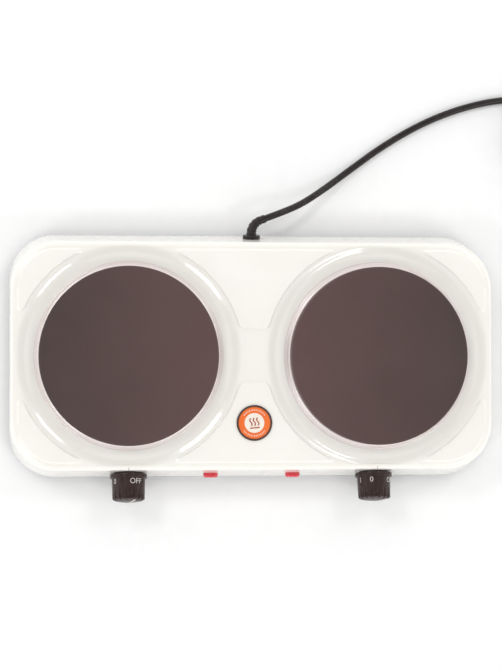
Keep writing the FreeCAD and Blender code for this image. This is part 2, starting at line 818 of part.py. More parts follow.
def knob_pointer(x):
    """Pale pointer bar set in the knob's face."""
    bar = pointer_slot(pointer_proud, 0.0)
    sphere_radius = (knob_face_radius ** 2 + knob_dome ** 2) / (2 * knob_dome)
    crown = knob_gap + knob_length + knob_dome - sphere_radius
    bar = bar.common(Part.makeSphere(sphere_radius + pointer_proud, Vector(0, 0, crown)))
    return on_front(bar, x, control_y, control_z)


def knob_clip(x):
    """Spring band around the knob's hub."""
    z = knob_gap + knob_flange_depth + clip_set_back
    end = z + clip_width
    inner = knob_hub_radius + running_clearance
    band = cylinder(inner + clip_sheet, z, end).cut(cylinder(inner, z - 1, end + 1))
    gap = box(-clip_gap / 2, clip_gap / 2, -2 * knob_hub_radius, 0, z - 1, end + 1)
    return on_front(band.cut(gap), x, control_y, control_z)


def set_past_off(shape, side, x):
    """Turns a piece of a control clockwise about its axis, to the setting it is drawn at."""
    tilt = math.radians(front_draft)
    inward = Vector(0, math.cos(tilt), -math.sin(tilt))
    shape.rotate(Vector(x, control_y, control_z), inward, knob_settings[side])
    return shape


# ---------------------------------------------------------------- lamps and badge
def lamp_lens(x):
    """Red domed lens with the stem that goes through the wall."""
    cap = stadium(lens_length, lens_height, 0, lens_proud)
    front = [e for e in cap.Edges if e.BoundBox.ZMin > lens_proud - 0.01]
    cap = cap.makeFillet(lens_height / 3, front)
    stem = stadium(stem_length, stem_height, -stem_depth, 0)
    return on_front(cap.fuse(stem), x, lamp_y, lamp_z)


def lamp_clip(x):
    """Push-on spring plate behind the wall."""
    half_x = stem_length / 2 + lamp_clip_margin
    half_y = stem_height / 2 + lamp_clip_margin
    plate = box(-half_x, half_x, -half_y, half_y, -sheet - lamp_clip_sheet, -sheet)
    hole = stadium(stem_length + screw_clearance, stem_height + screw_clearance, -5, 5)
    return on_front(plate.cut(hole), x, lamp_y, lamp_z)


def lamp_body(x):
    """Neon lamp in its moulded sleeve, behind the lens."""
    body = box(-lamp_body_length / 2, lamp_body_length / 2, -lamp_body_height / 2,
               lamp_body_height / 2, -stem_depth - lamp_body_depth, -stem_depth)
    return on_front(body, x, lamp_y, lamp_z)


def badge_rim():
    """Dark outer ring of the badge."""
    ring = cylinder(badge_radius, badge_z, badge_z + badge_height, 0, badge_y)
    return ring.cut(cylinder(badge_radius - badge_rim_width, badge_z - 1, badge_z + 5, 0, badge_y))


def badge_band():
    """Orange band between the rim and the pale centre."""
    top = badge_z + badge_height - badge_band_drop
    band = cylinder(badge_radius - badge_rim_width - badge_print_gap, badge_z, top, 0, badge_y)
    return band.cut(cylinder(badge_centre_radius + badge_print_gap, badge_z - 1, top + 1, 0, badge_y))


def badge_centre():
    """Pale centre disc."""
    return cylinder(badge_centre_radius, badge_z, badge_z + badge_height - badge_centre_height, 0, badge_y)


def wave_line(x, y0, z):
    """One rising wavy line of the heat sign."""
    step = wave_length / 4
    points = []
    for i in range(5):
        swing = (0, 1, 0, -1, 0)[i] * wave_swing
        points.append(Vector(x + swing, y0 + i * step, z))
    curve = Part.BSplineCurve()
    curve.interpolate(points)
    left = curve.toShape().translated(Vector(-wave_width / 2, 0, 0))
    right = curve.toShape().translated(Vector(wave_width / 2, 0, 0))
    low = Part.LineSegment(left.Vertexes[0].Point, right.Vertexes[0].Point).toShape()
    high = Part.LineSegment(left.Vertexes[1].Point, right.Vertexes[1].Point).toShape()
    outline = Part.Wire(Part.__sortEdges__([left, low, right, high]))
    return Part.Face(outline).extrude(Vector(0, 0, emblem_height))


def badge_emblem():
    """Plain heat sign: three wavy lines over a bar."""
    z = badge_z + badge_height - badge_centre_height
    low_y = badge_y - emblem_drop
    half = emblem_bar_length / 2
    solids = [box(-half, half, low_y, low_y + wave_width, z, z + emblem_height)]
    for i in (-1, 0, 1):
        solids.append(wave_line(i * wave_gap, low_y + wave_rise, z))
    return group(solids)


# ---------------------------------------------------------------- mains lead
def relief_at(share):
    """Point and heading along the relief's level centre line, share from 0 to 1."""
    arc = relief_bend_radius * relief_bend
    run = share * (relief_straight + arc + relief_end_straight)
    turn = min(max(run - relief_straight, 0), arc) / relief_bend_radius
    before = min(run, relief_straight)
    after = max(run - relief_straight - arc, 0)
    x = relief_bend_radius * (1 - math.cos(turn)) + after * math.sin(turn)
    y = relief_y + before + relief_bend_radius * math.sin(turn) + after * math.cos(turn)
    return Vector(x, y, gland_z), Vector(math.sin(turn), math.cos(turn), 0)


def cord_gland():
    """Flanged bush with a bent, tapering strain relief."""
    flange = cylinder(gland_flange_radius, 0, gland_flange_depth)
    neck = cylinder(gland_neck_radius, -gland_tail_depth, 0)
    seat = on_back(flange.fuse(neck), 0, gland_y, gland_z)
    sections = []
    for i in range(relief_sections + 1):
        share = i / relief_sections
        centre, heading = relief_at(share)
        radius = relief_start_radius + (relief_end_radius - relief_start_radius) * share
        sections.append(Part.Wire(Part.makeCircle(radius, centre, heading)))
    return seat.fuse(Part.makeLoft(sections, True, False))


def lead_point(place):
    """A place of the lead's route in the housing's frame."""
    return Vector(relief_end_x + place[0], relief_end_y + place[1], place[2])


def cord_run():
    """The loose stretch of the lead, from the relief down to the surface and over to the coil."""
    start = Vector(relief_end_x, relief_end_y, gland_z)
    points = [start] + [lead_point(place) for place in cord_route]
    points.append(Vector(coil_x - lead_in, coil_entry_y, coil_low_z))
    return routed_tube(points, cord_radius, "cord_run")


def cord_coil():
    """Outer shape of the put-away turns, with the straight ends where the lead goes in and out."""
    inner = coil_mean_radius - cord_diameter
    outer = coil_mean_radius + cord_diameter
    top = coil_lift + 2 * cord_diameter
    cut = coil_edge * cord_radius
    ring = turned([(inner, coil_lift + cut), (inner + cut, coil_lift), (outer - cut, coil_lift),
                   (outer, coil_lift + cut), (outer, top - cut), (outer - cut, top),
                   (inner + cut, top), (inner, top - cut)], coil_x, coil_y)
    entry_start = Vector(coil_x - lead_in, coil_entry_y, coil_low_z)
    entry = Part.makeCylinder(cord_radius, lead_in, entry_start, Vector(1, 0, 0))
    leave_end = Vector(coil_exit_x, coil_y - lead_out, coil_high_z)
    leave = Part.makeCylinder(cord_radius, lead_out, leave_end, Vector(0, 1, 0))
    return ring.fuse([entry, leave])


def cord_tail():
    """Short stretch from the coil to the plug."""
    points = [Vector(coil_exit_x, coil_y - lead_out, coil_high_z)]
    points += [lead_point(place) for place in tail_route]
    points.append(Vector(plug_x, plug_back_y, plug_radius))
    return routed_tube(points, cord_radius, "cord_tail")


def coil_tie():
    """Strap loop around the turns."""
    inner = coil_mean_radius - cord_diameter - tie_clearance
    outer = coil_mean_radius + cord_diameter + tie_clearance
    top = coil_lift + 2 * cord_diameter
    half = tie_width / 2
    loop = box(inner - tie_sheet, outer + tie_sheet, -half, half, 0, top + tie_sheet)
    loop = loop.cut(box(inner, outer, -half - 1, half + 1, coil_lift, top))
    loop.rotate(Vector(0, 0, 0), Vector(0, 0, 1), tie_angle)
    loop.translate(Vector(coil_x, coil_y, 0))
    return loop


def lying(shape):
    """Turns a shape drawn along +Z so that it lies along +Y at the plug's place."""
    placed = shape.copy()
    placed.rotate(Vector(0, 0, 0), Vector(1, 0, 0), -90)
    placed.translate(Vector(plug_x, plug_face_y, plug_radius))
    return placed


def plug_body():
    """Moulded plug: face disc, tapered grip and neck."""
    grip_end = plug_face_depth + plug_grip_length
    neck_end = grip_end + plug_neck_length
    body = turned([(0, 0), (plug_radius, 0), (plug_radius, plug_face_depth),
                   (plug_grip_radius, plug_face_depth + plug_shoulder), (plug_grip_end_radius, grip_end),
                   (plug_neck_radius, grip_end), (cord_radius + relief_end_wall, neck_end), (0, neck_end)])
    return lying(body)


def plug_pins():
    """Two round pins."""
    solids = []
    for side in (-1, 1):
        pin = cylinder(plug_pin_radius, -plug_pin_length, 0, side * plug_pin_pitch / 2)
        solids.append(lying(pin))
    return group(solids)


# ---------------------------------------------------------------- connections inside
def terminal_block():
    """Three-way mains terminal block on the cover, in line with the gland."""
    half = block_length / 2
    return box(-half, half, block_back_y - block_width, block_back_y, cover_top_z, cover_top_z + block_height)


def terminal_screws():
    """The block's three clamp screws."""
    z = cover_top_z + block_height
    top = z + block_screw_height
    y = block_back_y - block_width / 2
    return group([cylinder(block_screw_radius, z, top, i * block_length / 3, y) for i in (-1, 0, 1)])


def lead_inner_end():
    """End of the lead's sheath between the gland and the block."""
    sheath = cylinder(cord_radius, -gland_tail_depth - tail_length, -gland_tail_depth)
    return on_back(sheath, 0, gland_y, gland_z).cut(terminal_block())


def cord_clamp():
    """Saddle that grips the sheath inside the cover."""
    y0 = block_back_y + block_width / 2
    saddle = box(-clamp_length / 2, clamp_length / 2, y0, y0 + clamp_width, cover_top_z, gland_z + clamp_rise)
    hole = cylinder(cord_radius + running_clearance, -gland_tail_depth - 2 * tail_length, 0)
    return saddle.cut(on_back(hole, 0, gland_y, gland_z))


def behind_control(x, depth, up=0.0):
    """Point behind the front wall on a control's axis, up along the wall."""
    lean = math.radians(front_draft)
    return Vector(x, control_y + math.cos(lean) * depth + math.sin(lean) * up,
                  control_z - math.sin(lean) * depth + math.cos(lean) * up)


def blade_end(x, row):
    """Free end of one of the thermostat's blades."""
    depth = -bush_back() + thermostat_depth + blade_length - abs(row) * blade_step + wire_gap
    return behind_control(x, depth, row * blade_pitch)


def tab_end(x, side):
    """Lower end of one of the plate's tabs."""
    z = shield_z - connector_height - tab_length - wire_gap
    return Vector(x + side * connector_length / 4, -connector_reach, z)


def live_wires():
    """From the block to each thermostat's middle blade."""
    wires = []
    for side, x in ((-1, plate_xs["left"]), (1, plate_xs["right"])):
        end = blade_end(x, 0)
        start = Vector(side * block_length / 3, block_back_y - block_width - block_gap, wire_z)
        bends = [Vector(side * across, back, wire_z) for across, back in live_bends]
        approach = Vector(x, live_approach_y, wire_z)
        wires.append(routed_tube([start, *bends, approach, end], wire_radius))
    return group(wires)


def neutral_wires():
    """From the block to one tab of each plate."""
    wires = []
    for side, x in ((-1, plate_xs["left"]), (1, plate_xs["right"])):
        end = tab_end(x, -side)
        start = Vector(side * block_length / 9, block_back_y - block_width - block_gap, wire_z)
        bends = [Vector(side * across, back, wire_z) for across, back in neutral_bends]
        approach = Vector(end.x, tab_approach_y, wire_z + tab_approach_rise)
        wires.append(routed_tube([start, *bends, approach, end], wire_radius))
    return group(wires)


def switched_wires():
    """From each thermostat's upper blade to the plate's other tab."""
    wires = []
    for side, x in ((-1, plate_xs["left"]), (1, plate_xs["right"])):
        start = blade_end(x, 1)
        end = tab_end(x, side)
        bend = start + Vector(0, *switched_bend)
        approach = Vector(end.x, *switched_approach)
        wires.append(routed_tube([start, bend, approach, end], wire_radius))
    return group(wires)


def lamp_wires():
    """From each lamp to the thermostat's lower blade."""
    wires = []
    lean = math.radians(front_draft)
    depth = stem_depth + lamp_body_depth + wire_gap
    for side, x in ((-1, plate_xs["left"]), (1, plate_xs["right"])):
        start = Vector(side * lamp_x, lamp_y + math.cos(lean) * depth, lamp_z - math.sin(lean) * depth)
        end = blade_end(x, -1)
        bend = start + Vector(0, *lamp_bend)
        across, back, up = lamp_pass
        approach = Vector(x, *lamp_approach)
        wires.append(routed_tube([start, bend, Vector(side * across, back, up), approach, end], wire_radius))
    return group(wires)


def earth_tag():
    """Ring tag and its screw on the pan's flange."""
    y = half_depth_at(cover_top_z) - sheet - rim_flange_width / 2
    half = tag_width / 2
    tag_top = flange_top_z + tab_sheet
    tag = box(earth_x - half, earth_x + half, y - half, y + half, flange_top_z, tag_top)
    return tag.fuse(hexagon(foot_nut_flats, tag_top, tag_top + foot_nut_height, earth_x, y))


def earth_wire():
    """From the block to the tag."""
    y = half_depth_at(cover_top_z) - sheet - (rim_flange_width + tag_width) / 2 - wire_gap
    z = flange_top_z + wire_radius
    start = Vector(block_length / 2 + block_gap, block_back_y - block_width / 2, wire_z)
    across, back, before = earth_bends
    first = Vector(earth_x + across, start.y + back, wire_z - 1)
    return routed_tube([start, first, Vector(earth_x, y + before, z + 1), Vector(earth_x, y, z)], wire_radius)


# ---------------------------------------------------------------- assembly
nodes["top_housing"] = top_housing()
nodes["bottom_cover"] = bottom_cover()
nodes["feet"] = feet()
nodes["foot_screws"] = foot_screws()
nodes["foot_nuts"] = foot_nuts()
nodes["cover_screws"] = cover_screws()

for side, x in plate_xs.items():
    nodes[side + "_hot_plate"] = hot_plate(x)
    nodes[side + "_trim_ring"] = trim_ring(x)
    nodes[side + "_heater_coils"] = group(heater_coils(x, 0))
    nodes[side + "_ceramic_fill"] = ceramic_fill(x)
    nodes[side + "_heat_shield"] = heat_shield(x)
    nodes[side + "_clamp_strap"] = clamp_strap(x)
    nodes[side + "_plate_connector"] = plate_connector(x)
    nodes[side + "_thermostat_bush"] = thermostat_bush(x)
    nodes[side + "_thermostat_body"] = thermostat_body(x)
    nodes[side + "_thermostat_blades"] = thermostat_blades(x)
    nodes[side + "_spindle"] = set_past_off(spindle(x), side, x)
    nodes[side + "_knob"] = set_past_off(knob(x), side, x)
    nodes[side + "_knob_pointer"] = set_past_off(knob_pointer(x), side, x)
    nodes[side + "_knob_clip"] = set_past_off(knob_clip(x), side, x)

nodes["centre_studs"] = group([centre_stud(x) for x in plate_xs.values()])
nodes["stud_nuts"] = group([solid for x in plate_xs.values() for solid in stud_nut(x)])
nodes["plate_tabs"] = group([solid for x in plate_xs.values() for solid in plate_tabs(x)])
nodes["thermostat_brackets"] = group([thermostat_bracket(x) for x in plate_xs.values()])
nodes["control_screws"] = control_screws()
for side, x in (("left", -lamp_x), ("right", lamp_x)):
    nodes[side + "_lamp_lens"] = lamp_lens(x)
nodes["lamp_bodies"] = group([lamp_body(-lamp_x), lamp_body(lamp_x)])
nodes["lamp_clips"] = group([lamp_clip(-lamp_x), lamp_clip(lamp_x)])

nodes["badge_rim"] = badge_rim()
nodes["badge_band"] = badge_band()
nodes["badge_centre"] = badge_centre()
nodes["badge_emblem"] = badge_emblem()

nodes["cord_gland"] = cord_gland()
nodes["cord_run"] = cord_run()
nodes["cord_coil"] = cord_coil()
nodes["cord_tail"] = cord_tail()
nodes["coil_tie"] = coil_tie()
nodes["plug_body"] = plug_body()
nodes["plug_pins"] = plug_pins()

nodes["terminal_block"] = terminal_block()
nodes["terminal_screws"] = terminal_screws()
nodes["lead_inner_end"] = lead_inner_end()
nodes["cord_clamp"] = cord_clamp()
nodes["earth_tag"] = earth_tag()
nodes["wiring"] = group(live_wires().Solids + neutral_wires().Solids + switched_wires().Solids
                        + lamp_wires().Solids + earth_wire().Solids)

# The origin is under the middle of everything but the lead.
lead_nodes = ("cord_gland", "cord_run", "cord_coil", "cord_tail", "coil_tie", "plug_body", "plug_pins")
own = Part.makeCompound([shape for name, shape in nodes.items() if name not in lead_nodes])
bounds = own.optimalBoundingBox(False, False)
to_origin = Vector(0, -(bounds.YMin + bounds.YMax) / 2, 0)

os.makedirs("parts", exist_ok=True)
for name, shape in nodes.items():
    shape.translate(to_origin)
    shape.exportStep("parts/" + name + ".step")

lean = math.radians(front_draft)
print("nodes", len(nodes), "moved along Y by", round(to_origin.y, 4))
print("knob axes cross the wall at x", plate_xs, "y", round(control_y + to_origin.y, 4), "z", control_z)
print("knob axis direction", round(-math.cos(lean), 6), round(math.sin(lean), 6))
for name, shape in nodes.items():
    if not shape.isValid() or not shape.Solids:
        print("check", name, shape.isValid(), len(shape.Solids))
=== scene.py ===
import json
import math

import bpy
from mathutils import Matrix, Vector
from mathutils.geometry import delaunay_2d_cdt


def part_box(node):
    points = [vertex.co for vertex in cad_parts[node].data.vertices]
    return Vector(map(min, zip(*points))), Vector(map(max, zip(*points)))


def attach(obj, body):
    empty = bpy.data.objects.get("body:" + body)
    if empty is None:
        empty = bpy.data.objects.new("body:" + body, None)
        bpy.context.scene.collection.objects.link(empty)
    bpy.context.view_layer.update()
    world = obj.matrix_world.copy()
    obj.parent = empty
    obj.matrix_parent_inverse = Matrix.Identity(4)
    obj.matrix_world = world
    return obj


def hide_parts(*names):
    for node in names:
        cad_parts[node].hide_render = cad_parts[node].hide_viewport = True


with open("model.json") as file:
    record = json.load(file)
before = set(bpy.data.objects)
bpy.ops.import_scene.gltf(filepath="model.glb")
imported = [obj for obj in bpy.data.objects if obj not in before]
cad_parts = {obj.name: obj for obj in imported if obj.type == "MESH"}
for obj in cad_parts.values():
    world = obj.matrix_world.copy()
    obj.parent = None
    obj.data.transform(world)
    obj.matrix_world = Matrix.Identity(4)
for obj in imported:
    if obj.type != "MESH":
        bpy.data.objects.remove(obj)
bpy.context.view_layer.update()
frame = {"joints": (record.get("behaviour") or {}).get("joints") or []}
mm = 0.001


# ---------------------------------------------------------------- camera
# The appliance is looked at from above, one and a half metres over its plates and to the left of
# the middle, in an upright picture.
plate_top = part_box("left_hot_plate")[1].z
eye = Vector((-153.8 * mm, 12.5 * mm, plate_top + 1.503))
target = Vector((-39.3 * mm, 35 * mm, plate_top))

camera = bpy.data.objects.new("camera", bpy.data.cameras.new("camera"))
bpy.context.scene.collection.objects.link(camera)
bpy.context.scene.camera = camera
backward = (eye - target).normalized()
rightward = Vector((0, 1, 0)).cross(backward).normalized()
upright_view = Matrix((rightward, backward.cross(rightward), backward)).transposed()
camera.matrix_world = Matrix.Translation(eye) @ upright_view.to_4x4()
camera.data.sensor_width = 36.0
camera.data.lens = 78.86
camera.data.shift_x = 0.05


# ---------------------------------------------------------------- pressed housing
# One deep-drawn steel pan, 0.8 mm thick, coated in glossy cream enamel. The press raises six
# panels round the plates and sinks a shallow dish under each; a strip inside the rim takes the cover.
def add(tree, kind, sockets=None, **settings):
    """Puts a shader node in a tree; a socket takes a number, a colour or another node's output."""
    made = tree.nodes.new("ShaderNode" + kind)
    for name, value in settings.items():
        setattr(made, name, value)
    for name, value in (sockets or {}).items():
        if isinstance(value, bpy.types.NodeSocket):
            tree.links.new(value, made.inputs[name])
        else:
            made.inputs[name].default_value = value
    return made


def effect(name, inputs, output):
    """New node group with number inputs and one masking output; gives the tree and its two ends."""
    tree = bpy.data.node_groups.new(name, "ShaderNodeTree")
    for socket, value in inputs.items():
        kind = "NodeSocketVector" if isinstance(value, tuple) else "NodeSocketFloat"
        tree.interface.new_socket(socket, in_out="INPUT", socket_type=kind).default_value = value
    tree.interface.new_socket(output, in_out="OUTPUT", socket_type="NodeSocketFloat")
    return tree, tree.nodes.new("NodeGroupInput").outputs, tree.nodes.new("NodeGroupOutput").inputs


def noise_over(tree, vector, size, detail):
    """Noise texture whose lumps are as large as size says, in metres."""
    scale = add(tree, "Math", {0: 1.0, 1: size}, operation="DIVIDE")
    return add(tree, "TexNoise", {"Vector": vector, "Scale": scale.outputs[0], "Detail": detail})


def contrasted(tree, value, contrast):
    """Mask of an even texture with its contrast about the middle turned up or down."""
    centred = add(tree, "Math", {0: value, 1: 0.5}, operation="SUBTRACT")
    return add(tree, "Math", {0: centred.outputs[0], 1: contrast, 2: 0.5},
               operation="MULTIPLY_ADD", use_clamp=True).outputs[0]


grain, ends, out = effect("fine grain", {"Size": 1 * mm, "Contrast": 1.0}, "Mask")
place = add(grain, "TexCoord").outputs["Object"]
speckle = noise_over(grain, place, ends["Size"], 4.0)
grain.links.new(contrasted(grain, speckle.outputs["Fac"], ends["Contrast"]), out["Mask"])

edge_wear, ends, out = effect("edge wear", {"Width": 1 * mm, "Break": 6 * mm}, "Mask")
place = add(edge_wear, "TexCoord").outputs["Object"]
own_normal = add(edge_wear, "NewGeometry").outputs["Normal"]
softened = add(edge_wear, "Bevel", {"Radius": ends["Width"]}, samples=4)
alike = add(edge_wear, "VectorMath", {0: own_normal, 1: softened.outputs["Normal"]}, operation="DOT_PRODUCT")
edge = add(edge_wear, "MapRange", {"Value": alike.outputs["Value"], "From Min": 0.99, "From Max": 0.86})
patches = noise_over(edge_wear, place, ends["Break"], 3.0)
broken = add(edge_wear, "MapRange", {"Value": patches.outputs["Fac"], "From Min": 0.42, "From Max": 0.62})
worn = add(edge_wear, "Math", {0: edge.outputs["Result"], 1: broken.outputs["Result"]}, operation="MULTIPLY")
edge_wear.links.new(worn.outputs[0], out["Mask"])

dust, ends, out = effect("settled dust", {"Patch": 30 * mm, "Amount": 1.0}, "Mask")
place = add(dust, "TexCoord").outputs["Object"]
facing = add(dust, "SeparateXYZ", {0: add(dust, "NewGeometry").outputs["Normal"]})
upward = add(dust, "MapRange", {"Value": facing.outputs["Z"], "From Min": 0.55, "From Max": 1.0})
patches = noise_over(dust, place, ends["Patch"], 6.0)
thick = add(dust, "MapRange", {"Value": patches.outputs["Fac"], "From Min": 0.45, "From Max": 0.75})
settled = add(dust, "Math", {0: upward.outputs["Result"], 1: thick.outputs["Result"]}, operation="MULTIPLY")
scaled = add(dust, "Math", {0: settled.outputs[0], 1: ends["Amount"]}, operation="MULTIPLY")
dust.links.new(scaled.outputs[0], out["Mask"])


def mask_from(tree, group, **inputs):
    """Places a node group in a material and gives its mask."""
    made = add(tree, "Group", node_tree=group)
    for name, value in inputs.items():
        made.inputs[name].default_value = value
    return made.outputs["Mask"]


def blend_colours(tree, mask, first, second):
    """Colour that goes from first to second as the mask goes from 0 to 1."""
    made = add(tree, "Mix", {0: mask}, data_type="RGBA")
    for socket, colour in ((made.inputs[6], first), (made.inputs[7], second)):
        if isinstance(colour, bpy.types.NodeSocket):
            tree.links.new(colour, socket)
        else:
            socket.default_value = (*colour, 1.0)
    return made.outputs[2]


def between(tree, mask, low, high):
    """Number that goes from low to high as the mask goes from 0 to 1."""
    return add(tree, "MapRange", {"Value": mask, "To Min": low, "To Max": high}).outputs["Result"]


def bumped(tree, height, depth):
    """Normal of a surface raised by up to depth, in metres, where height is 1."""
    return add(tree, "Bump", {"Height": height, "Distance": depth, "Strength": 1.0}).outputs["Normal"]


def finish(name, roughness, metallic=0.0, **constants):
    """New material with one Principled shader that holds its own constants."""
    made = bpy.data.materials.new(name)
    made.use_nodes = True
    shader = made.node_tree.nodes["Principled BSDF"]
    shader.inputs["Roughness"].default_value = roughness
    shader.inputs["Metallic"].default_value = metallic
    for socket, value in constants.items():
        shader.inputs[socket.replace("_", " ")].default_value = value
    return made, made.node_tree, shader.inputs


def surfaced(tree, shader, colour, roughness, normal):
    """Feeds a finish's shader with what changes over the surface."""
    for socket, value in (("Base Color", colour), ("Roughness", roughness), ("Normal", normal)):
        tree.links.new(value, shader[socket])


def moulded(name, colour, second, roughness, grain_size, grain_depth, worn=None, metallic=0.0,
            **constants):
    """Plain moulded or rolled finish: mottled colour, uneven gloss, a fine grain and worn edges."""
    made, tree, shader = finish(name, roughness[0], metallic, **constants)
    cloud = mask_from(tree, grain, Size=14 * mm, Contrast=2.0)
    fine = mask_from(tree, grain, Size=grain_size, Contrast=1.4)
    body_colour = blend_colours(tree, cloud, colour, second)
    if worn:
        rubbed = mask_from(tree, edge_wear, Width=0.5 * mm, Break=5 * mm)
        body_colour = blend_colours(tree, rubbed, body_colour, worn)
    surfaced(tree, shader, body_colour, between(tree, cloud, *roughness), bumped(tree, fine, grain_depth))
    return made


def eased(profile, radius, steps=4):
    """A profile's points with every corner between its ends rounded off."""
    points = [Vector(point) for point in profile]
    rounded = [points[0]]
    for before, corner, after in zip(points, points[1:], points[2:]):
        reach = min(radius, 0.45 * (corner - before).length, 0.45 * (after - corner).length)
        start = corner + (before - corner).normalized() * reach
        end = corner + (after - corner).normalized() * reach
        for i in range(steps + 1):
            share = i / steps
            rounded.append(start.lerp(corner, share).lerp(corner.lerp(end, share), share))
    return rounded + [points[-1]]


def turned(profile, steps=96, closed=False):
    """Shell of a (radius, height) profile turned about +Z. A point on the axis is one vertex."""
    vertices, rings, faces = [], [], []
    for radius, height in profile:
        count = 1 if radius < 1e-6 else steps
        rings.append([len(vertices) + i % count for i in range(steps)])
        for i in range(count):
            angle = math.tau * i / steps
            vertices.append(Vector((radius * math.cos(angle), radius * math.sin(angle), height)))
    pairs = list(zip(rings, rings[1:])) + ([(rings[-1], rings[0])] if closed else [])
    for low, high in pairs:
        for i in range(steps):
            j = (i + 1) % steps
            corners = list(dict.fromkeys((low[i], low[j], high[j], high[i])))
            if len(corners) > 2:
                faces.append(corners)
    return vertices, faces


def lofted(rings, capped=True):
    """Shell through rings of equally many points, each closed on itself, with flat ends."""
    size = len(rings[0])
    vertices = [Vector(point) for ring in rings for point in ring]
    faces = []
    for row in range(len(rings) - 1):
        for i in range(size):
            j = (i + 1) % size
            faces.append([row * size + i, row * size + j, (row + 1) * size + j, (row + 1) * size + i])
    if capped:
        faces.append(list(range(size))[::-1])
        faces.append([(len(rings) - 1) * size + i for i in range(size)])
    return vertices, faces


def moved(shell, matrix):
    """A shell in another place."""
    return [matrix @ vertex for vertex in shell[0]], shell[1]


def make(name, shells, material, smooth_angle=35.0):
    """One object of one or more shells, with sharp edges only where faces meet steeply."""
    vertices, faces = [], []
    for shell_vertices, shell_faces in shells:
        faces += [[len(vertices) + i for i in face] for face in shell_faces]
        vertices += shell_vertices
    mesh = bpy.data.meshes.new(name)
    mesh.from_pydata(vertices, [], faces)
    mesh.materials.append(material)
    mesh.polygons.foreach_set("use_smooth", [True] * len(mesh.polygons))
    mesh.set_sharp_from_angle(angle=math.radians(smooth_angle))
    made = bpy.data.objects.new(name, mesh)
    bpy.context.scene.collection.objects.link(made)
    return made


def fit(made, body, slot, *nodes):
    """Sets a piece on its body in place of CAD nodes; its slot argument is not used."""
    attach(made, body)
    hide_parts(*nodes)
    return made


def ease_between(value, start, end):
    """0 before start, 1 after end, and a smooth rise between."""
    share = min(max((value - start) / (end - start), 0.0), 1.0)
    return share * share * (3 - 2 * share)


housing_low, housing_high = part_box("top_housing")
housing_middle = Vector((0.0, (housing_low.y + housing_high.y) / 2))
rim_half = Vector((housing_high.x - housing_low.x, housing_high.y - housing_low.y)) / 2
rim_height = housing_low.z
panel_height = 1.6 * mm
deck_height = housing_high.z - panel_height
enamel_sheet = 0.8 * mm
side_draft = math.radians(5.0)
front_draft = math.radians(12.0)
corner_radius = 48 * mm
deck_edge = 6 * mm
deck_half = rim_half - (deck_height - rim_height) * Vector((math.tan(side_draft), math.tan(front_draft)))
plate_axes = {side: (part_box(side + "_hot_plate")[0].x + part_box(side + "_hot_plate")[1].x) / 2
              for side in ("left", "right")}
dish_radius = 117 * mm
dish_slope = 10 * mm
dish_depth = 3 * mm
opening_radius = 87 * mm
panel_margin = 6.5 * mm
panel_slope = 2 * mm
panel_rounding = 6 * mm       # how softly the sides of a panel run into each other
waist_gap = 27 * mm           # half width of the low waist between the middle panels
end_gap = 44 * mm             # half width of the low strip at each end
panel_step = 2.2 * mm
panel_starts = (Vector((0, 80 * mm)), Vector((215 * mm, 85 * mm)))   # near a middle and a corner panel
corner_steps = 24
long_side_steps = 66
short_side_steps = 26
wall_steps = 7
dish_steps = 240
dish_flat = 101 * mm
fill_step = 6 * mm
fill_row_pitch = 0.87         # of the step along a row
fill_rows = 20
fill_columns = 44


def smooth_max(first, second, blend):
    """The larger of two distances, rounded where they are nearly equal."""
    near = max(blend - abs(first - second), 0.0) / blend
    return max(first, second) + near * near * blend / 4


def outside_panel(spot):
    """How far a spot of the deck lies outside the nearest raised panel; negative on a panel."""
    radius = corner_radius - panel_margin
    over = Vector((abs(spot.x) - deck_half.x + panel_margin + radius,
                   abs(spot.y) - deck_half.y + panel_margin + radius))
    outward = Vector((max(over.x, 0), max(over.y, 0))).length + min(max(over.x, over.y), 0) - radius
    near_axis = plate_axes["right"]
    well = dish_radius - Vector((abs(spot.x) - near_axis, spot.y)).length
    gap = (waist_gap if abs(spot.x) < near_axis else end_gap) - abs(spot.y)
    return smooth_max(smooth_max(outward, well, panel_rounding), gap, panel_rounding)


def uphill(spot):
    """Direction in which a spot leaves its panel fastest."""
    nudge = 0.05 * mm
    nudges = Vector((nudge, 0)), Vector((0, nudge))
    return Vector([outside_panel(spot + n) - outside_panel(spot - n) for n in nudges]) / (2 * nudge)


def settled_at(spot, level):
    """The spot moved straight to a given distance from the panel's edge."""
    for _ in range(4):
        slope = uphill(spot)
        spot = spot - (outside_panel(spot) - level) * slope / max(slope.length_squared, 0.05)
    return spot


def panel_outline(start):
    """Evenly spaced spots along the foot of one panel, walked round it from a start near it."""
    spots = [settled_at(start, 0.0)]
    while len(spots) < 1000:
        slope = uphill(spots[-1]).normalized()
        ahead = settled_at(spots[-1] + panel_step * Vector((-slope.y, slope.x)), 0.0)
        if len(spots) > 3 and (ahead - spots[0]).length < 0.8 * panel_step:
            break
        spots.append(ahead)
    return spots


def deck_surface(spot, depth=0.0):
    """Height of the enamel at a spot, depth below the deck where the edge curves away."""
    raised = panel_height * ease_between(-outside_panel(spot), 0.0, panel_slope)
    sunk = 0.0
    for axis in plate_axes.values():
        away = (spot - Vector((axis, 0))).length
        sunk += dish_depth * (1 - ease_between(away, dish_radius - dish_slope, dish_radius))
    return deck_height - depth + (raised - sunk) * max(1 - depth / deck_edge, 0.0)


def drawn_in(depth, draft):
    """How far the wall lies inside the sharp deck edge, depth below the deck."""
    if depth > deck_edge * (1 - math.sin(draft)):
        return -depth * math.tan(draft)
    arc = math.sqrt(deck_edge ** 2 - (deck_edge - depth) ** 2)
    return deck_edge * (1 - math.sin(draft)) / math.cos(draft) - arc


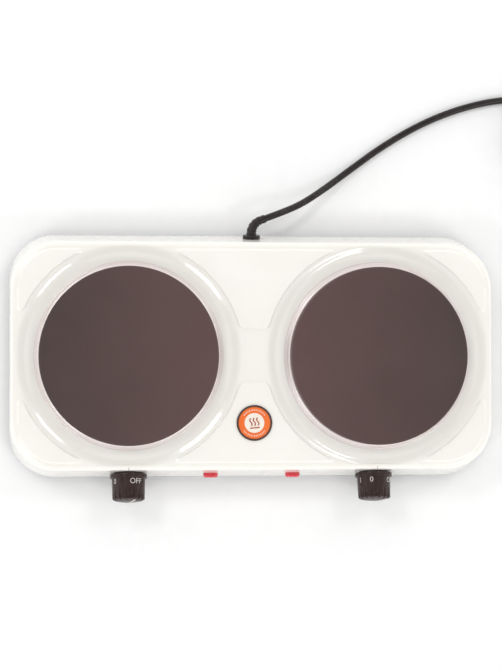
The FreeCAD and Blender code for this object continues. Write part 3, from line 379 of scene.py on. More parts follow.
def outline(half, radius):
    """Spots round a rectangle with round corners, always equally many, from its right side on."""
    spots = []
    for quarter, (sx, sy) in enumerate(((1, 1), (-1, 1), (-1, -1), (1, -1))):
        middle = Vector((sx * (half.x - radius), sy * (half.y - radius)))
        for i in range(corner_steps + 1):
            angle = math.pi / 2 * (quarter + i / corner_steps)
            spots.append(middle + radius * Vector((math.cos(angle), math.sin(angle))))
        last = spots[-1]
        if quarter % 2 == 0:
            next_corner, count = Vector((-sx * (half.x - radius), last.y)), long_side_steps
        else:
            next_corner, count = Vector((last.x, -sy * (half.y - radius))), short_side_steps
        spots += [last.lerp(next_corner, i / count) for i in range(1, count)]
    return spots


def wall_ring(depth):
    """Ring of vertices round the pan, depth below its deck."""
    inset = Vector((drawn_in(depth, side_draft), drawn_in(depth, front_draft)))
    radius = corner_radius - max((inset.x + inset.y) / 2, 0.0)
    spots = outline(deck_half - inset, radius)
    return [(spot + housing_middle).to_3d() + Vector((0, 0, deck_surface(spot, depth))) for spot in spots]


def thickened(shell, sheet):
    """Closed shell of sheet metal: the skin, a second one behind it and a wall along each open edge."""
    skin, faces = shell
    normals = [Vector((0, 0, 0)) for _ in skin]
    for face in faces:
        across = (skin[face[1]] - skin[face[0]]).cross(skin[face[2]] - skin[face[0]])
        for corner in face:
            normals[corner] += across
    behind = [point - sheet * normal.normalized() for point, normal in zip(skin, normals)]
    size = len(skin)
    sides = {(a, b) for face in faces for a, b in zip(face, face[1:] + face[:1])}
    rims = [[b, a, a + size, b + size] for a, b in sides if (b, a) not in sides]
    faces_behind = [[corner + size for corner in face[::-1]] for face in faces]
    return skin + behind, faces + faces_behind + sorted(rims)


arc_angles = (0, 8, 18, 29, 41, 54, 67, 79, 90)
arc_depths = [deck_edge * (1 - math.cos(math.radians(angle))) for angle in arc_angles]
wall_depths = [deck_edge + (deck_height - rim_height - deck_edge) * i / wall_steps
               for i in range(1, wall_steps + 1)]
wall_rings = [wall_ring(depth) for depth in arc_depths + wall_depths]
deck_outline = [point.xy - housing_middle for point in wall_rings[0]]

panel_levels = [panel_slope * share for share in (0.3, 0, -0.15, -0.35, -0.5, -0.65, -0.85, -1, -1.3)]
panel_spots = []
for start in panel_starts:
    for foot in panel_outline(start):
        for level in panel_levels:
            spot = settled_at(foot, level)
            mirrors = {(spot.x, spot.y), (-spot.x, spot.y), (spot.x, -spot.y), (-spot.x, -spot.y)}
            panel_spots += [Vector(mirror) for mirror in sorted(mirrors)]

dish_radii = [opening_radius, opening_radius + 4 * mm, dish_flat, dish_radius - dish_slope - 1 * mm]
dish_radii += [dish_radius - dish_slope * share for share in (1, 0.86, 0.7, 0.5, 0.3, 0.14, 0)]
dish_radii.append(dish_radius + 1 * mm)
dish_spots = []
opening_rims = []
for axis in plate_axes.values():
    for radius in dish_radii:
        angles = [math.tau * i / dish_steps for i in range(dish_steps)]
        ring = [Vector((axis + radius * math.cos(angle), radius * math.sin(angle))) for angle in angles]
        if radius == opening_radius:
            opening_rims.append(ring)
        else:
            dish_spots += ring

fill_spots = []
for row in range(-fill_rows, fill_rows + 1):
    for column in range(-fill_columns, fill_columns + 1):
        spot = Vector(((column + 0.5 * (row % 2)) * fill_step, row * fill_step * fill_row_pitch))
        away = min((spot - Vector((axis, 0))).length for axis in plate_axes.values())
        near_panel_edge = -1.6 * panel_slope < outside_panel(spot) < 0.6 * panel_slope
        if away > dish_radius + 2 * mm and not near_panel_edge:
            fill_spots.append(spot)

outline_half = Vector((deck_outline[0].x, max(edge.y for edge in deck_outline)))
outline_clearance = 1.2 * mm
front_clearance = 0.8 * mm
corner_clearance = 3 * mm
spot_spacing = 0.45 * mm


def clear_of_outline(spot):
    """True for a spot that stands clear of the deck's outline.

    Past the short ends it also lets spots through up to the sharp deck edge, where they leave a
    thin lip over the rounded edge.
    """
    if abs(spot.x) >= deck_half.x or abs(spot.y) >= outline_half.y - front_clearance:
        return False
    over = Vector((abs(spot.x) - outline_half.x + corner_radius,
                   abs(spot.y) - deck_half.y + corner_radius))
    if min(over) >= 0 and over.length >= corner_radius - corner_clearance:
        return False
    return min((spot - edge).length for edge in deck_outline) > outline_clearance


taken = set()
inner_spots = []
for spot in dish_spots + panel_spots + fill_spots:
    cell = (round(spot.x / spot_spacing), round(spot.y / spot_spacing))
    if cell not in taken and clear_of_outline(spot):
        taken.add(cell)
        inner_spots.append(spot)

plan_spots, plan_edges = [], []
for border in [deck_outline] + opening_rims:
    first = len(plan_spots)
    plan_spots += border
    plan_edges += [(first + i, first + (i + 1) % len(border)) for i in range(len(border))]
plan, _, triangles, sources, _, _ = delaunay_2d_cdt(plan_spots + inner_spots, plan_edges, [], 0, 1e-6)


def in_opening(triangle):
    """True for a triangle over one of the plates' openings."""
    centre = sum((plan[corner] for corner in triangle), Vector((0, 0))) / 3
    reach = opening_radius * 0.9995
    return any((centre - Vector((axis, 0))).length < reach for axis in plate_axes.values())


pan_vertices = [(spot + housing_middle).to_3d() + Vector((0, 0, deck_surface(spot))) for spot in plan]
pan_faces = [list(triangle) for triangle in triangles if not in_opening(triangle)]
in_plan = {source: new for new, old in enumerate(sources) for source in old}
above = [in_plan[i] for i in range(len(deck_outline))]
for ring in wall_rings[1:]:
    below = [len(pan_vertices) + i for i in range(len(ring))]
    pan_vertices += ring
    uprights = list(zip(above, below))
    for (top, bottom), (next_top, next_bottom) in zip(uprights, uprights[1:] + uprights[:1]):
        pan_faces.append([next_top, top, bottom, next_bottom])
    above = below

strip_low = 12.7 * mm
strip_width = 9 * mm
strip_outer = rim_half - (strip_low - rim_height) * Vector((math.tan(side_draft), math.tan(front_draft)))
strip_outer = strip_outer - Vector((enamel_sheet, enamel_sheet)) * 0.7
strip_high = strip_low + enamel_sheet
strip_rings = []
for inset, height in ((0, strip_low), (0, strip_high), (strip_width, strip_high), (strip_width, strip_low),
                      (0, strip_low)):
    spots = outline(strip_outer - Vector((inset, inset)), corner_radius - enamel_sheet - inset)
    strip_rings.append([(spot + housing_middle).to_3d() + Vector((0, 0, height)) for spot in spots])

enamel, tree, shader = finish("cream enamel", 0.2, Coat_Weight=0.6, Coat_Roughness=0.06, Coat_IOR=1.5)
cloud = mask_from(tree, grain, Size=60 * mm, Contrast=1.6)
cream = blend_colours(tree, cloud, (0.89, 0.86, 0.80), (0.90, 0.885, 0.835))
thin = mask_from(tree, edge_wear, Width=0.9 * mm, Break=14 * mm)
cream = blend_colours(tree, between(tree, thin, 0.0, 0.2), cream, (0.78, 0.73, 0.66))
film = mask_from(tree, dust, Patch=26 * mm, Amount=0.10)
gloss = mask_from(tree, grain, Size=9 * mm, Contrast=1.8)
peel = mask_from(tree, grain, Size=2.6 * mm, Contrast=1.0)
surfaced(tree, shader, blend_colours(tree, film, cream, (0.70, 0.68, 0.64)),
         between(tree, gloss, 0.15, 0.27), bumped(tree, peel, 0.012 * mm))
pan_shells = [thickened((pan_vertices, pan_faces), enamel_sheet), lofted(strip_rings, False)]
fit(make("pressed_housing", pan_shells, enamel, 40.0), "housing", "enamel", "top_housing")


# ---------------------------------------------------------------- trim rings
# A pressed ring of 1 mm stainless steel round each plate, brushed on a lathe. Its foot stands in
# the dish and its flat top carries the plate's shoulder.
lathe_marks, ends, out = effect("lathe marks", {"Pitch": 1 * mm, "Contrast": 1.0}, "Mask")
place = add(lathe_marks, "TexCoord").outputs["Object"]
across = add(lathe_marks, "VectorMath", {0: place, 1: (1, 1, 0)}, operation="MULTIPLY")
radius = add(lathe_marks, "VectorMath", {0: across.outputs[0]}, operation="LENGTH")
turns = add(lathe_marks, "Math", {0: radius.outputs["Value"], 1: ends["Pitch"]}, operation="DIVIDE")
lines = add(lathe_marks, "TexNoise", {"W": turns.outputs[0], "Scale": 1.0, "Detail": 3.0},
            noise_dimensions="1D")
lathe_marks.links.new(contrasted(lathe_marks, lines.outputs["Fac"], ends["Contrast"]), out["Mask"])


def brushed_round(tree, shader, strength):
    """Stretches reflections across the brushing of a turned piece that stands on its own centre."""
    shader["Anisotropic"].default_value = strength
    along = add(tree, "Tangent", direction_type="RADIAL", axis="Z")
    tree.links.new(along.outputs["Tangent"], shader["Tangent"])


ring_low, ring_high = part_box("left_trim_ring")
ring_reach = (ring_high.x - ring_low.x) / 2
ring_foot = ring_reach - 1.5 * mm
ring_shelf = 93.7 * mm
ring_bore = opening_radius - 0.5 * mm
ring_sheet = 1 * mm
ring_bend = 1.1 * mm
shelf_middle = 90 * mm

steel, tree, shader = finish("brushed stainless steel", 0.24, 1.0)
brushed = mask_from(tree, lathe_marks, Pitch=0.7 * mm, Contrast=1.2)
stained = mask_from(tree, grain, Size=30 * mm, Contrast=2.2)
bright = blend_colours(tree, brushed, (0.70, 0.63, 0.61), (0.84, 0.79, 0.77))
surfaced(tree, shader, blend_colours(tree, between(tree, stained, 0, 0.3), bright, (0.62, 0.52, 0.49)),
         between(tree, stained, 0.38, 0.46), bumped(tree, brushed, 0.0004 * mm))
brushed_round(tree, shader, 0.2)

shelf_under = ring_high.z - ring_sheet
foot_top = ring_low.z + ring_sheet
ring_profile = [(shelf_middle, shelf_under), (ring_shelf - 0.8 * mm, shelf_under),
                (ring_foot - 0.7 * mm, ring_low.z), (ring_reach, ring_low.z), (ring_reach, foot_top),
                (ring_foot, foot_top), (ring_shelf, ring_high.z), (ring_bore, ring_high.z),
                (ring_bore, shelf_under), (shelf_middle, shelf_under)]
ring_shell = turned(eased(ring_profile, ring_bend)[:-1], 160, True)
for side, axis in plate_axes.items():
    ring = make(side + "_bright_ring", [ring_shell], steel)
    ring.location = (axis, housing_middle.y, 0)
    fit(ring, "housing", "stainless_trim", side + "_trim_ring")


# ---------------------------------------------------------------- hot plates
# Grey cast iron, turned flat on top and painted with a dark heat-proof coating that has gone brown in
# patches; its lighter, redder side towards the appliance's middle is a painted sheen.
# The underside has a round groove for the heating wire and a boss for the centre stud.
plate_low, plate_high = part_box("left_hot_plate")
plate_radius = (plate_high.x - plate_low.x) / 2
boss_radius = 20 * mm
groove_radius = 82 * mm
groove_roof = 67 * mm
spigot_radius = 86 * mm
shoulder = ring_high.z
plate_profile = [(0, plate_low.z), (boss_radius, plate_low.z), (boss_radius, groove_roof),
                 (groove_radius, groove_roof), (groove_radius, plate_low.z), (spigot_radius, plate_low.z),
                 (spigot_radius, shoulder), (plate_radius, shoulder), (plate_radius, shoulder + 4 * mm)]
plate_profile += [(radius, plate_high.z) for radius in (plate_radius, 88 * mm, 60 * mm, 30 * mm, 0)]
plate_shell = turned(eased(plate_profile, 2 * mm, 5), 192)
iron, tree, shader = finish("iron coating with patchy browning and painted sheen", 0.45, Specular_IOR_Level=0.3)
turning = mask_from(tree, lathe_marks, Pitch=0.9 * mm, Contrast=1.5)
fine = mask_from(tree, grain, Size=0.8 * mm, Contrast=1.6)
patchy = mask_from(tree, grain, Size=75 * mm, Contrast=1.4)
place = add(tree, "SeparateXYZ", {0: add(tree, "NewGeometry").outputs["Position"]})
from_middle = add(tree, "Math", {0: place.outputs["X"]}, operation="ABSOLUTE")
# Painted sheen: the coat gets lighter and redder towards the appliance's middle, standing in for the soft
# reflection of the light; it is mixed below with real patchy browning.
inner = add(tree, "MapRange", {"Value": from_middle.outputs[0], "From Min": 225 * mm, "From Max": 35 * mm})
browning_and_painted_sheen = add(tree, "Mix", {0: 0.3, 2: inner.outputs["Result"], 3: patchy}).outputs[0]
rubbed = mask_from(tree, edge_wear, Width=1.2 * mm, Break=9 * mm)
# The lighter, redder colour is patchy browning and, towards the middle, painted sheen.
coat = blend_colours(tree, browning_and_painted_sheen, (0.048, 0.031, 0.029), (0.118, 0.064, 0.060))
coat = blend_colours(tree, between(tree, turning, 0, 0.12), coat, (0.15, 0.115, 0.105))
coat = blend_colours(tree, between(tree, fine, 0, 0.25), coat, (0.045, 0.034, 0.03))
coat = blend_colours(tree, between(tree, rubbed, 0, 0.5), coat, (0.20, 0.18, 0.17))
rough_face = add(tree, "Bump", {"Height": turning, "Distance": 0.02 * mm, "Strength": 1.0})
cast = add(tree, "Bump", {"Height": fine, "Distance": 0.015 * mm, "Normal": rough_face.outputs["Normal"]})
surfaced(tree, shader, coat, between(tree, browning_and_painted_sheen, 0.40, 0.52), cast.outputs["Normal"])
brushed_round(tree, shader, 0.45)
for side, axis in plate_axes.items():
    plate = make(side + "_iron_plate", [plate_shell], iron)
    plate.location = (axis, housing_middle.y, 0)
    fit(plate, "housing", "cast_iron", side + "_hot_plate")


# ---------------------------------------------------------------- heaters and clamps
# Inside the shell: heating wire packed in white ceramic under each plate, a sheet-steel heat
# shield, a strap on a centre stud that pulls the plate down, and the plate's connector.
def coated(material, *nodes):
    """Gives CAD nodes whose shape is right a better finish."""
    for node in nodes:
        for place in bpy.data.objects[node].material_slots:
            place.material = material


def both(node):
    """The left and the right copy of a node."""
    return "left_" + node, "right_" + node


zinc, tree, shader = finish("galvanised steel", 0.4, 1.0)
spangle = add(tree, "TexVoronoi", {"Vector": add(tree, "TexCoord").outputs["Object"], "Scale": 230.0})
flake = add(tree, "SeparateXYZ", {0: spangle.outputs["Color"]}).outputs["X"]
grey = blend_colours(tree, flake, (0.50, 0.51, 0.52), (0.68, 0.69, 0.70))
scuffed = mask_from(tree, edge_wear, Width=0.6 * mm, Break=8 * mm)
fine = mask_from(tree, grain, Size=1.5 * mm, Contrast=1.0)
surfaced(tree, shader, blend_colours(tree, scuffed, grey, (0.78, 0.78, 0.77)),
         between(tree, flake, 0.3, 0.5), bumped(tree, fine, 0.01 * mm))
plated = moulded("zinc-plated steel", (0.62, 0.63, 0.66), (0.52, 0.52, 0.53), (0.22, 0.38), 0.5 * mm,
                 0.006 * mm, (0.75, 0.75, 0.75), 1.0)
resistance_wire = moulded("resistance wire", (0.28, 0.25, 0.23), (0.20, 0.17, 0.15), (0.45, 0.6),
                          0.4 * mm, 0.01 * mm, None, 0.9)
ceramic = moulded("white ceramic", (0.78, 0.75, 0.68), (0.70, 0.66, 0.58), (0.55, 0.75), 0.6 * mm,
                  0.03 * mm, (0.60, 0.56, 0.50))
brass = moulded("brass", (0.78, 0.57, 0.27), (0.62, 0.43, 0.20), (0.22, 0.4), 0.5 * mm, 0.008 * mm,
                (0.86, 0.68, 0.38), 1.0)
coated(resistance_wire, *both("heater_coils"))
coated(ceramic, *both("ceramic_fill"), *both("plate_connector"))
coated(zinc, *both("heat_shield"), *both("clamp_strap"))
coated(plated, "centre_studs", "stud_nuts")
coated(brass, "plate_tabs")


# ---------------------------------------------------------------- bottom cover and screws
# A flat sheet of galvanised steel, pierced with rows of vent slots, that closes the shell from
# below. Ten plated pan-head screws with cross recesses hold it.
def middles_of(node, apart):
    """Middles of a CAD node's separate copies, which stand at least apart from each other."""
    clusters = []
    for vertex in bpy.data.objects[node].data.vertices:
        near = next((c for c in clusters if (c[0] - vertex.co).xy.length < apart), None)
        if near:
            near.append(vertex.co.copy())
        else:
            clusters.append([vertex.co.copy()])
    middles = []
    for cluster in clusters:
        low, high = (Vector(pick(p[i] for p in cluster) for i in range(3)) for pick in (min, max))
        middles.append((low + high) / 2)
    return middles


def pan_screw(head_radius, head_height, shank_radius, length):
    """Pan-head screw with a cross recess in its head, which points down from a seat at height 0."""
    profile = []
    for i in range(17):
        share = i / 16
        profile.append((head_radius * share, -head_height * (1 - 0.45 * share ** 3)))
    profile += [(head_radius, -0.3 * head_height), (head_radius, 0), (shank_radius, 0),
                (shank_radius, length - shank_radius), (0.3 * shank_radius, length), (0, length)]
    vertices, faces = turned(profile, 64)
    for vertex in vertices:
        if vertex.z < -0.5 * head_height:
            near, far = sorted((abs(vertex.x), abs(vertex.y)))
            slot = 1 - ease_between(near, 0.08 * head_radius, 0.22 * head_radius)
            reach = 1 - ease_between(far, 0.45 * head_radius, 0.65 * head_radius)
            vertex.z += 0.5 * head_height * slot * reach
    return vertices, faces


coated(zinc, "bottom_cover")
cover_screw = pan_screw(head_radius=3.6 * mm, head_height=2 * mm, shank_radius=1.9 * mm, length=6 * mm)
cover_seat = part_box("cover_screws")[0].z + 2 * mm
placed = [moved(cover_screw, Matrix.Translation((middle.x, middle.y, cover_seat)))
          for middle in middles_of("cover_screws", 12 * mm)]
fit(make("cover_pan_screws", placed, plated), "housing", "plated_steel", "cover_screws")


# ---------------------------------------------------------------- feet
# Four moulded rubber feet with a bead round the sole, each held by a pan-head screw up through its
# recess, with a nut inside the shell.
foot_low, foot_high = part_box("feet")
foot_height = foot_high.z - foot_low.z
foot_bore = 2.2 * mm
foot_radius = 12 * mm
foot_recess = 5 * mm          # depth of the recess for the screw's head
foot_profile = [(foot_bore, 8 * mm), (foot_bore, foot_recess), (5.5 * mm, foot_recess), (5.6 * mm, 0),
                (8 * mm, 0), (8.6 * mm, 0.5 * mm), (9.4 * mm, 0.5 * mm), (10 * mm, 0), (foot_radius, 0),
                (foot_radius, 3 * mm), (foot_radius - 0.7 * mm, 3.6 * mm), (10 * mm, foot_height),
                (foot_bore, foot_height), (foot_bore, 8 * mm)]
rubber = moulded("black rubber", (0.035, 0.035, 0.035), (0.055, 0.053, 0.05), (0.7, 0.85), 0.5 * mm,
                 0.04 * mm, (0.09, 0.09, 0.085))
feet = middles_of("feet", 30 * mm)
foot_shell = turned(eased(foot_profile, 0.8 * mm)[:-1], 64, True)
placed = [moved(foot_shell, Matrix.Translation((middle.x, middle.y, foot_low.z))) for middle in feet]
fit(make("rubber_feet", placed, rubber), "housing", "foot_rubber", "feet")
foot_screw = pan_screw(head_radius=3.8 * mm, head_height=2.2 * mm, shank_radius=2 * mm,
                       length=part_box("foot_screws")[1].z - foot_recess)
placed = [moved(foot_screw, Matrix.Translation((middle.x, middle.y, foot_low.z + foot_recess)))
          for middle in feet]
fit(make("foot_pan_screws", placed, plated), "housing", "plated_steel", "foot_screws")
coated(plated, "foot_nuts")


# ---------------------------------------------------------------- thermostats and wiring
# Behind the front wall: a ceramic thermostat on a steel bracket for each plate, its brass bush,
# bimetal blades and steel spindle, the terminal block, and sleeved wires between them.
natural = moulded("natural nylon", (0.72, 0.69, 0.60), (0.66, 0.62, 0.53), (0.4, 0.55), 0.5 * mm,
                  0.02 * mm, (0.80, 0.78, 0.72))
sleeve = moulded("heat-proof sleeve", (0.30, 0.05, 0.03), (0.22, 0.035, 0.025), (0.6, 0.8), 0.3 * mm,
                 0.05 * mm)
lamp_sleeve = moulded("lamp sleeve", (0.10, 0.10, 0.10), (0.14, 0.14, 0.14), (0.4, 0.6), 0.5 * mm,
                      0.02 * mm)
coated(ceramic, *both("thermostat_body"))
coated(brass, *both("thermostat_bush"), *both("thermostat_blades"))
coated(zinc, "thermostat_brackets", "cord_clamp", "lamp_clips")
coated(plated, "control_screws", "terminal_screws", "earth_tag", *both("spindle"), *both("knob_clip"))
coated(natural, "terminal_block")
coated(sleeve, "wiring")
coated(lamp_sleeve, "lamp_bodies")


# ---------------------------------------------------------------- knobs
# Dark brown moulded knobs on the two spindles: a flange, a smooth skirt and sixteen scooped
# flutes running out to a domed face. The scale is pad printed round the skirt in pale ink.
knob_settings = {"left": 26.0, "right": 63.0}   # degrees each knob stands past off
wall_gap = 1 * mm
hollow_roof = 23 * mm
hollow_radius = 12.5 * mm
hollow_mouth = 14.8 * mm
flange_rim = 19.5 * mm
skirt_start = 5.5 * mm
skirt_steps = 26
skirt_foot = 17.6 * mm
skirt_end = 16.8 * mm
face_height = 28 * mm
face_rounding = 1.2 * mm
face_dome = 2.5 * mm
flutes = 16
flute_radius = 2.2 * mm
flute_start = 13 * mm
flute_full = 33 * mm          # past the face, so that flutes still deepen there
flute_scoop = 1.875 * mm      # depth they would have there
print_line = 12.2 * mm
print_size = 7.8 * mm
scale = (("OFF", 0), ("0", -80), ("1", -125), ("2", -170), ("3", -215), ("4", -260), ("5", -305))


def on_knob(side):
    """Frame of one knob: +Z outward along its axis, +Y up the wall at off, turned to its setting."""
    turn = next(joint for joint in frame["joints"] if joint["name"] == side + "_knob_turn")
    outward = -Vector(turn["axis"]).normalized()
    up = outward.cross(Vector((1, 0, 0)))
    upright = Matrix((Vector((1, 0, 0)), up, outward)).transposed().to_4x4()
    drawn_at = Matrix.Rotation(-math.radians(knob_settings[side]), 4, "Z")
    return Matrix.Translation(Vector(turn["pos_m"])) @ upright @ drawn_at


def skirt_radius(height):
    """Radius of the knob's smooth skirt at a height from the wall."""
    share = (height - skirt_start) / (face_height - skirt_start)
    return skirt_foot + (skirt_end - skirt_foot) * min(max(share, 0.0), 1.0)


def flute_depth(angle, height):
    """How deep a flute is scooped into the skirt; flutes deepen towards the face."""
    deepest = flute_scoop * ease_between(height, flute_start, flute_full)
    off_centre = (angle * flutes / math.tau) % 1.0 - 0.5
    aside = abs(off_centre) * math.tau * skirt_end / flutes
    if deepest <= 0 or aside >= flute_radius:
        return 0.0
    return max(math.sqrt(flute_radius ** 2 - aside ** 2) - flute_radius + deepest, 0.0)


def knob_shell():
    """The knob as one closed shell, hollow at the back."""
    back = [(0, hollow_roof), (hollow_radius, hollow_roof), (hollow_mouth, wall_gap),
            (flange_rim, wall_gap), (flange_rim, skirt_start), (skirt_foot + 0.3 * mm, skirt_start)]
    rings = [(radius, height, 0.0) for radius, height in eased(back, 0.8 * mm)]
    rise = face_height - skirt_start
    heights = [skirt_start + 0.35 * mm]
    heights += [skirt_start + rise * i / skirt_steps for i in range(1, skirt_steps)]
    rings += [(skirt_radius(height), height, 1.0) for height in heights]
    for i in range(7):
        angle = math.pi / 2 * i / 6
        inset = face_rounding * (1 - math.cos(angle))
        rings.append((skirt_end - inset, face_height - face_rounding * (1 - math.sin(angle)), 1.0))
    for share in (0.93, 0.88, 0.8, 0.65, 0.45, 0.25, 0.0):
        radius = (skirt_end - face_rounding) * share
        dome = face_dome * (1 - (radius / skirt_end) ** 2)
        rings.append((radius, face_height + dome, ease_between(share, 0.5, 1.0)))
    steps = flutes * 16
    vertices, faces = turned([(radius, height) for radius, height, _ in rings], steps)
    first = 0
    for radius, height, fluted in rings:
        count = 1 if radius < 1e-6 else steps
        for i in range(count if fluted else 0):
            slimmer = 1 - fluted * flute_depth(math.tau * i / steps, height) / radius
            vertices[first + i].x *= slimmer
            vertices[first + i].y *= slimmer
        first += count
    return vertices, faces


def printed(words, size, place):
    """Thin raised print from a line of words, each vertex put where place sends it."""
    curve = bpy.data.curves.new(words, "FONT")
    curve.body = words
    curve.size = size
    curve.align_x = "CENTER"
    curve.extrude = 0.02 * mm
    curve.resolution_u = 6
    setter = bpy.data.objects.new(words, curve)
    drawn = setter.to_mesh()
    vertices = [place(vertex.co) for vertex in drawn.vertices]
    faces = [list(face.vertices) for face in drawn.polygons]
    setter.to_mesh_clear()
    bpy.data.objects.remove(setter)
    return vertices, faces


def around_skirt(degrees):
    """Places print on the skirt, clockwise from the top, with its head towards the wall."""
    def place(spot):
        height = print_line - spot.y
        radius = skirt_radius(height) + 0.07 * mm + spot.z
        angle = math.radians(degrees) + spot.x / skirt_foot
        return Vector((radius * math.sin(angle), radius * math.cos(angle), height))
    return place


knob_brown = moulded("dark brown phenolic", (0.024, 0.010, 0.009), (0.036, 0.018, 0.016), (0.22, 0.34),
                     0.35 * mm, 0.010 * mm, (0.08, 0.065, 0.06), Specular_IOR_Level=0.3)
pale_ink = moulded("pale ink", (0.66, 0.62, 0.60), (0.52, 0.48, 0.46), (0.5, 0.65), 0.4 * mm, 0.005 * mm)
for side in plate_axes:
    knob = make(side + "_moulded_knob", [moved(knob_shell(), on_knob(side))], knob_brown, 28.0)
    fit(knob, side + "_control", "knob_plastic", side + "_knob")
    marks = [moved(printed(words, print_size, around_skirt(degrees)), on_knob(side))
             for words, degrees in scale]
    scale_print = make(side + "_knob_scale", marks, pale_ink)
    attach(scale_print, side + "_control")
    coated(pale_ink, side + "_knob_pointer")


# ---------------------------------------------------------------- index marks
# A short grey line printed over each knob where the front of the shell turns down, against which
# the knob's scale is read.
grey_ink = moulded("grey ink", (0.42, 0.38, 0.36), (0.50, 0.46, 0.44), (0.4, 0.55), 0.4 * mm, 0.004 * mm)
mark_width = 0.9 * mm
mark_rows = 12
mark_shells = []
for axis in plate_axes.values():
    ladder = []
    for row in range(mark_rows + 1):
        depth = (0.6 + 0.45 * row) * mm
        y = housing_middle.y - deck_half.y + drawn_in(depth, front_draft) - 0.06 * mm
        ladder += [Vector((axis + sign * mark_width / 2, y, deck_height - depth)) for sign in (-1, 1)]
    rungs = [[2 * i, 2 * i + 2, 2 * i + 3, 2 * i + 1] for i in range(mark_rows)]
    mark_shells.append(thickened((ladder, rungs), 0.03 * mm))
index_marks = make("index_marks", mark_shells, grey_ink)
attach(index_marks, "housing")


# ---------------------------------------------------------------- signal lamps
# Two clear red lenses moulded in acrylic, with domed fronts and stems that snap through slots in
# the front wall into the lamps behind.
def stadium(length, height, outward):
    """Ring of points round a lens or stem, outward from the wall."""
    radius = height / 2
    points = []
    for end in (1, -1):
        for i in range(17):
            angle = math.pi * (i / 16 - 0.5) + (0 if end > 0 else math.pi)
            points.append(Vector((end * (length / 2 - radius) + radius * math.cos(angle),
                                  radius * math.sin(angle), outward)))
    return points


lens_length = 15.5 * mm
lens_height = 8 * mm
lens_proud = 4.6 * mm
lens_rounding = 2.6 * mm
lamp_height = 31 * mm
stem_length = 12 * mm
stem_height = 5.5 * mm
stem_depth = 9 * mm
lens_rings = [stadium(lens_length - 0.6 * mm, lens_height - 0.6 * mm, 0),
              stadium(lens_length, lens_height, 0.3 * mm),
              stadium(lens_length, lens_height, lens_proud - lens_rounding)]
for i in range(1, 9):
    angle = math.pi / 2 * i / 8
    shrink = 2 * lens_rounding * (1 - math.cos(angle))
    lens_rings.append(stadium(lens_length - shrink, lens_height - shrink,
                              lens_proud - lens_rounding * (1 - math.sin(angle))))
stem_rings = [stadium(stem_length, stem_height, outward) for outward in (-stem_depth, 0.1 * mm)]
red, tree, shader = finish("red acrylic", 0.12, Transmission_Weight=0.25, IOR=1.49, Coat_Weight=0.5)
deep = mask_from(tree, grain, Size=4 * mm, Contrast=1.6)
fine = mask_from(tree, grain, Size=1.2 * mm, Contrast=1.0)
surfaced(tree, shader, blend_colours(tree, deep, (0.88, 0.050, 0.075), (0.80, 0.035, 0.055)),
         between(tree, deep, 0.08, 0.2), bumped(tree, fine, 0.01 * mm))
for side in plate_axes:
    lens_low, lens_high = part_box(side + "_lamp_lens")
    wall_y = housing_middle.y - rim_half.y + (lamp_height - rim_height) * math.tan(front_draft)
    seat = Matrix.Translation(((lens_low.x + lens_high.x) / 2, wall_y, lamp_height))
    lean = Matrix.Rotation(math.pi / 2 - front_draft, 4, "X")
    lens_shells = [moved(lofted(rings), seat @ lean) for rings in (lens_rings, stem_rings)]
    fit(make(side + "_red_lens", lens_shells, red), "housing", "lamp_red", side + "_lamp_lens")


# ---------------------------------------------------------------- badge
# A round badge bonded to the deck: a dark rim, an orange printed band with two arcs of pale dashes,
# and a cream centre with a reddish sign of three wisps of steam over a bar.
badge_low, badge_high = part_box("badge_rim")
badge_radius = (badge_high.x - badge_low.x) / 2
badge_y = (badge_low.y + badge_high.y) / 2
band_outer = badge_radius - 2.1 * mm
centre_radius = 10.4 * mm
badge_height = badge_high.z - badge_low.z
band_top = badge_height - 0.3 * mm
centre_top = badge_height - 0.5 * mm
band_gap = 0.02 * mm
stroke = 1.1 * mm
sign_top = centre_top + 0.25 * mm
bar_y = -5.05 * mm
dash_radius = (centre_radius + band_outer) / 2
dash_width = 0.6 * mm
dash_pitch = 7.5              # degrees
dashes_per_arc = 15


def disc(inner, outer, top, rounding):
    """Flat ring or disc on the badge, from the deck up to top, with rounded upper edges."""
    profile = [(inner, 0), (outer, 0), (outer, top)]
    profile += [(inner, top), (inner, 0)] if inner else [(0, top)]
    rounded = eased(profile, rounding)
    return turned(rounded[:-1] if inner else rounded, 120, bool(inner))


def ribbon(path, width, low, high):
    """Flat strip of even width along a path, from low to high."""
    left, right = [], []
    for i, point in enumerate(path):
        along = (path[min(i + 1, len(path) - 1)] - path[max(i - 1, 0)]).normalized()
        aside = Vector((-along.y, along.x)) * width / 2
        left.append(point + aside)
        right.append(point - aside)
    border = right + left[::-1]
    return lofted([[Vector((*point, height)) for point in border] for height in (low, high)])


on_badge = Matrix.Translation((0, badge_y, badge_low.z))
rim_brown = moulded("dark brown enamel", (0.050, 0.022, 0.016), (0.075, 0.035, 0.026), (0.2, 0.32),
                    0.5 * mm, 0.008 * mm, (0.16, 0.10, 0.08), Coat_Weight=0.4)
orange = moulded("orange print", (0.80, 0.135, 0.012), (0.86, 0.165, 0.020), (0.28, 0.4), 0.4 * mm,
                 0.006 * mm, Coat_Weight=0.3, Coat_Roughness=0.1)
cream_print = moulded("cream print", (0.86, 0.77, 0.67), (0.90, 0.84, 0.76), (0.3, 0.42), 0.4 * mm,
                      0.006 * mm, Coat_Weight=0.5, Coat_Roughness=0.1)
rust_print = moulded("rust-red print", (0.36, 0.050, 0.020), (0.42, 0.065, 0.028), (0.3, 0.45), 0.3 * mm,
                     0.006 * mm)
rim = moved(disc(band_outer, badge_radius, badge_height, 0.5 * mm), on_badge)
fit(make("badge_dark_rim", [rim], rim_brown), "housing", "badge_dark", "badge_rim")
band = moved(disc(centre_radius + band_gap, band_outer - band_gap, band_top, 0.1 * mm), on_badge)
fit(make("badge_orange_band", [band], orange), "housing", "badge_orange", "badge_band")
centre = moved(disc(0, centre_radius, centre_top, 0.2 * mm), on_badge)
fit(make("badge_cream_centre", [centre], cream_print), "housing", "badge_cream", "badge_centre")

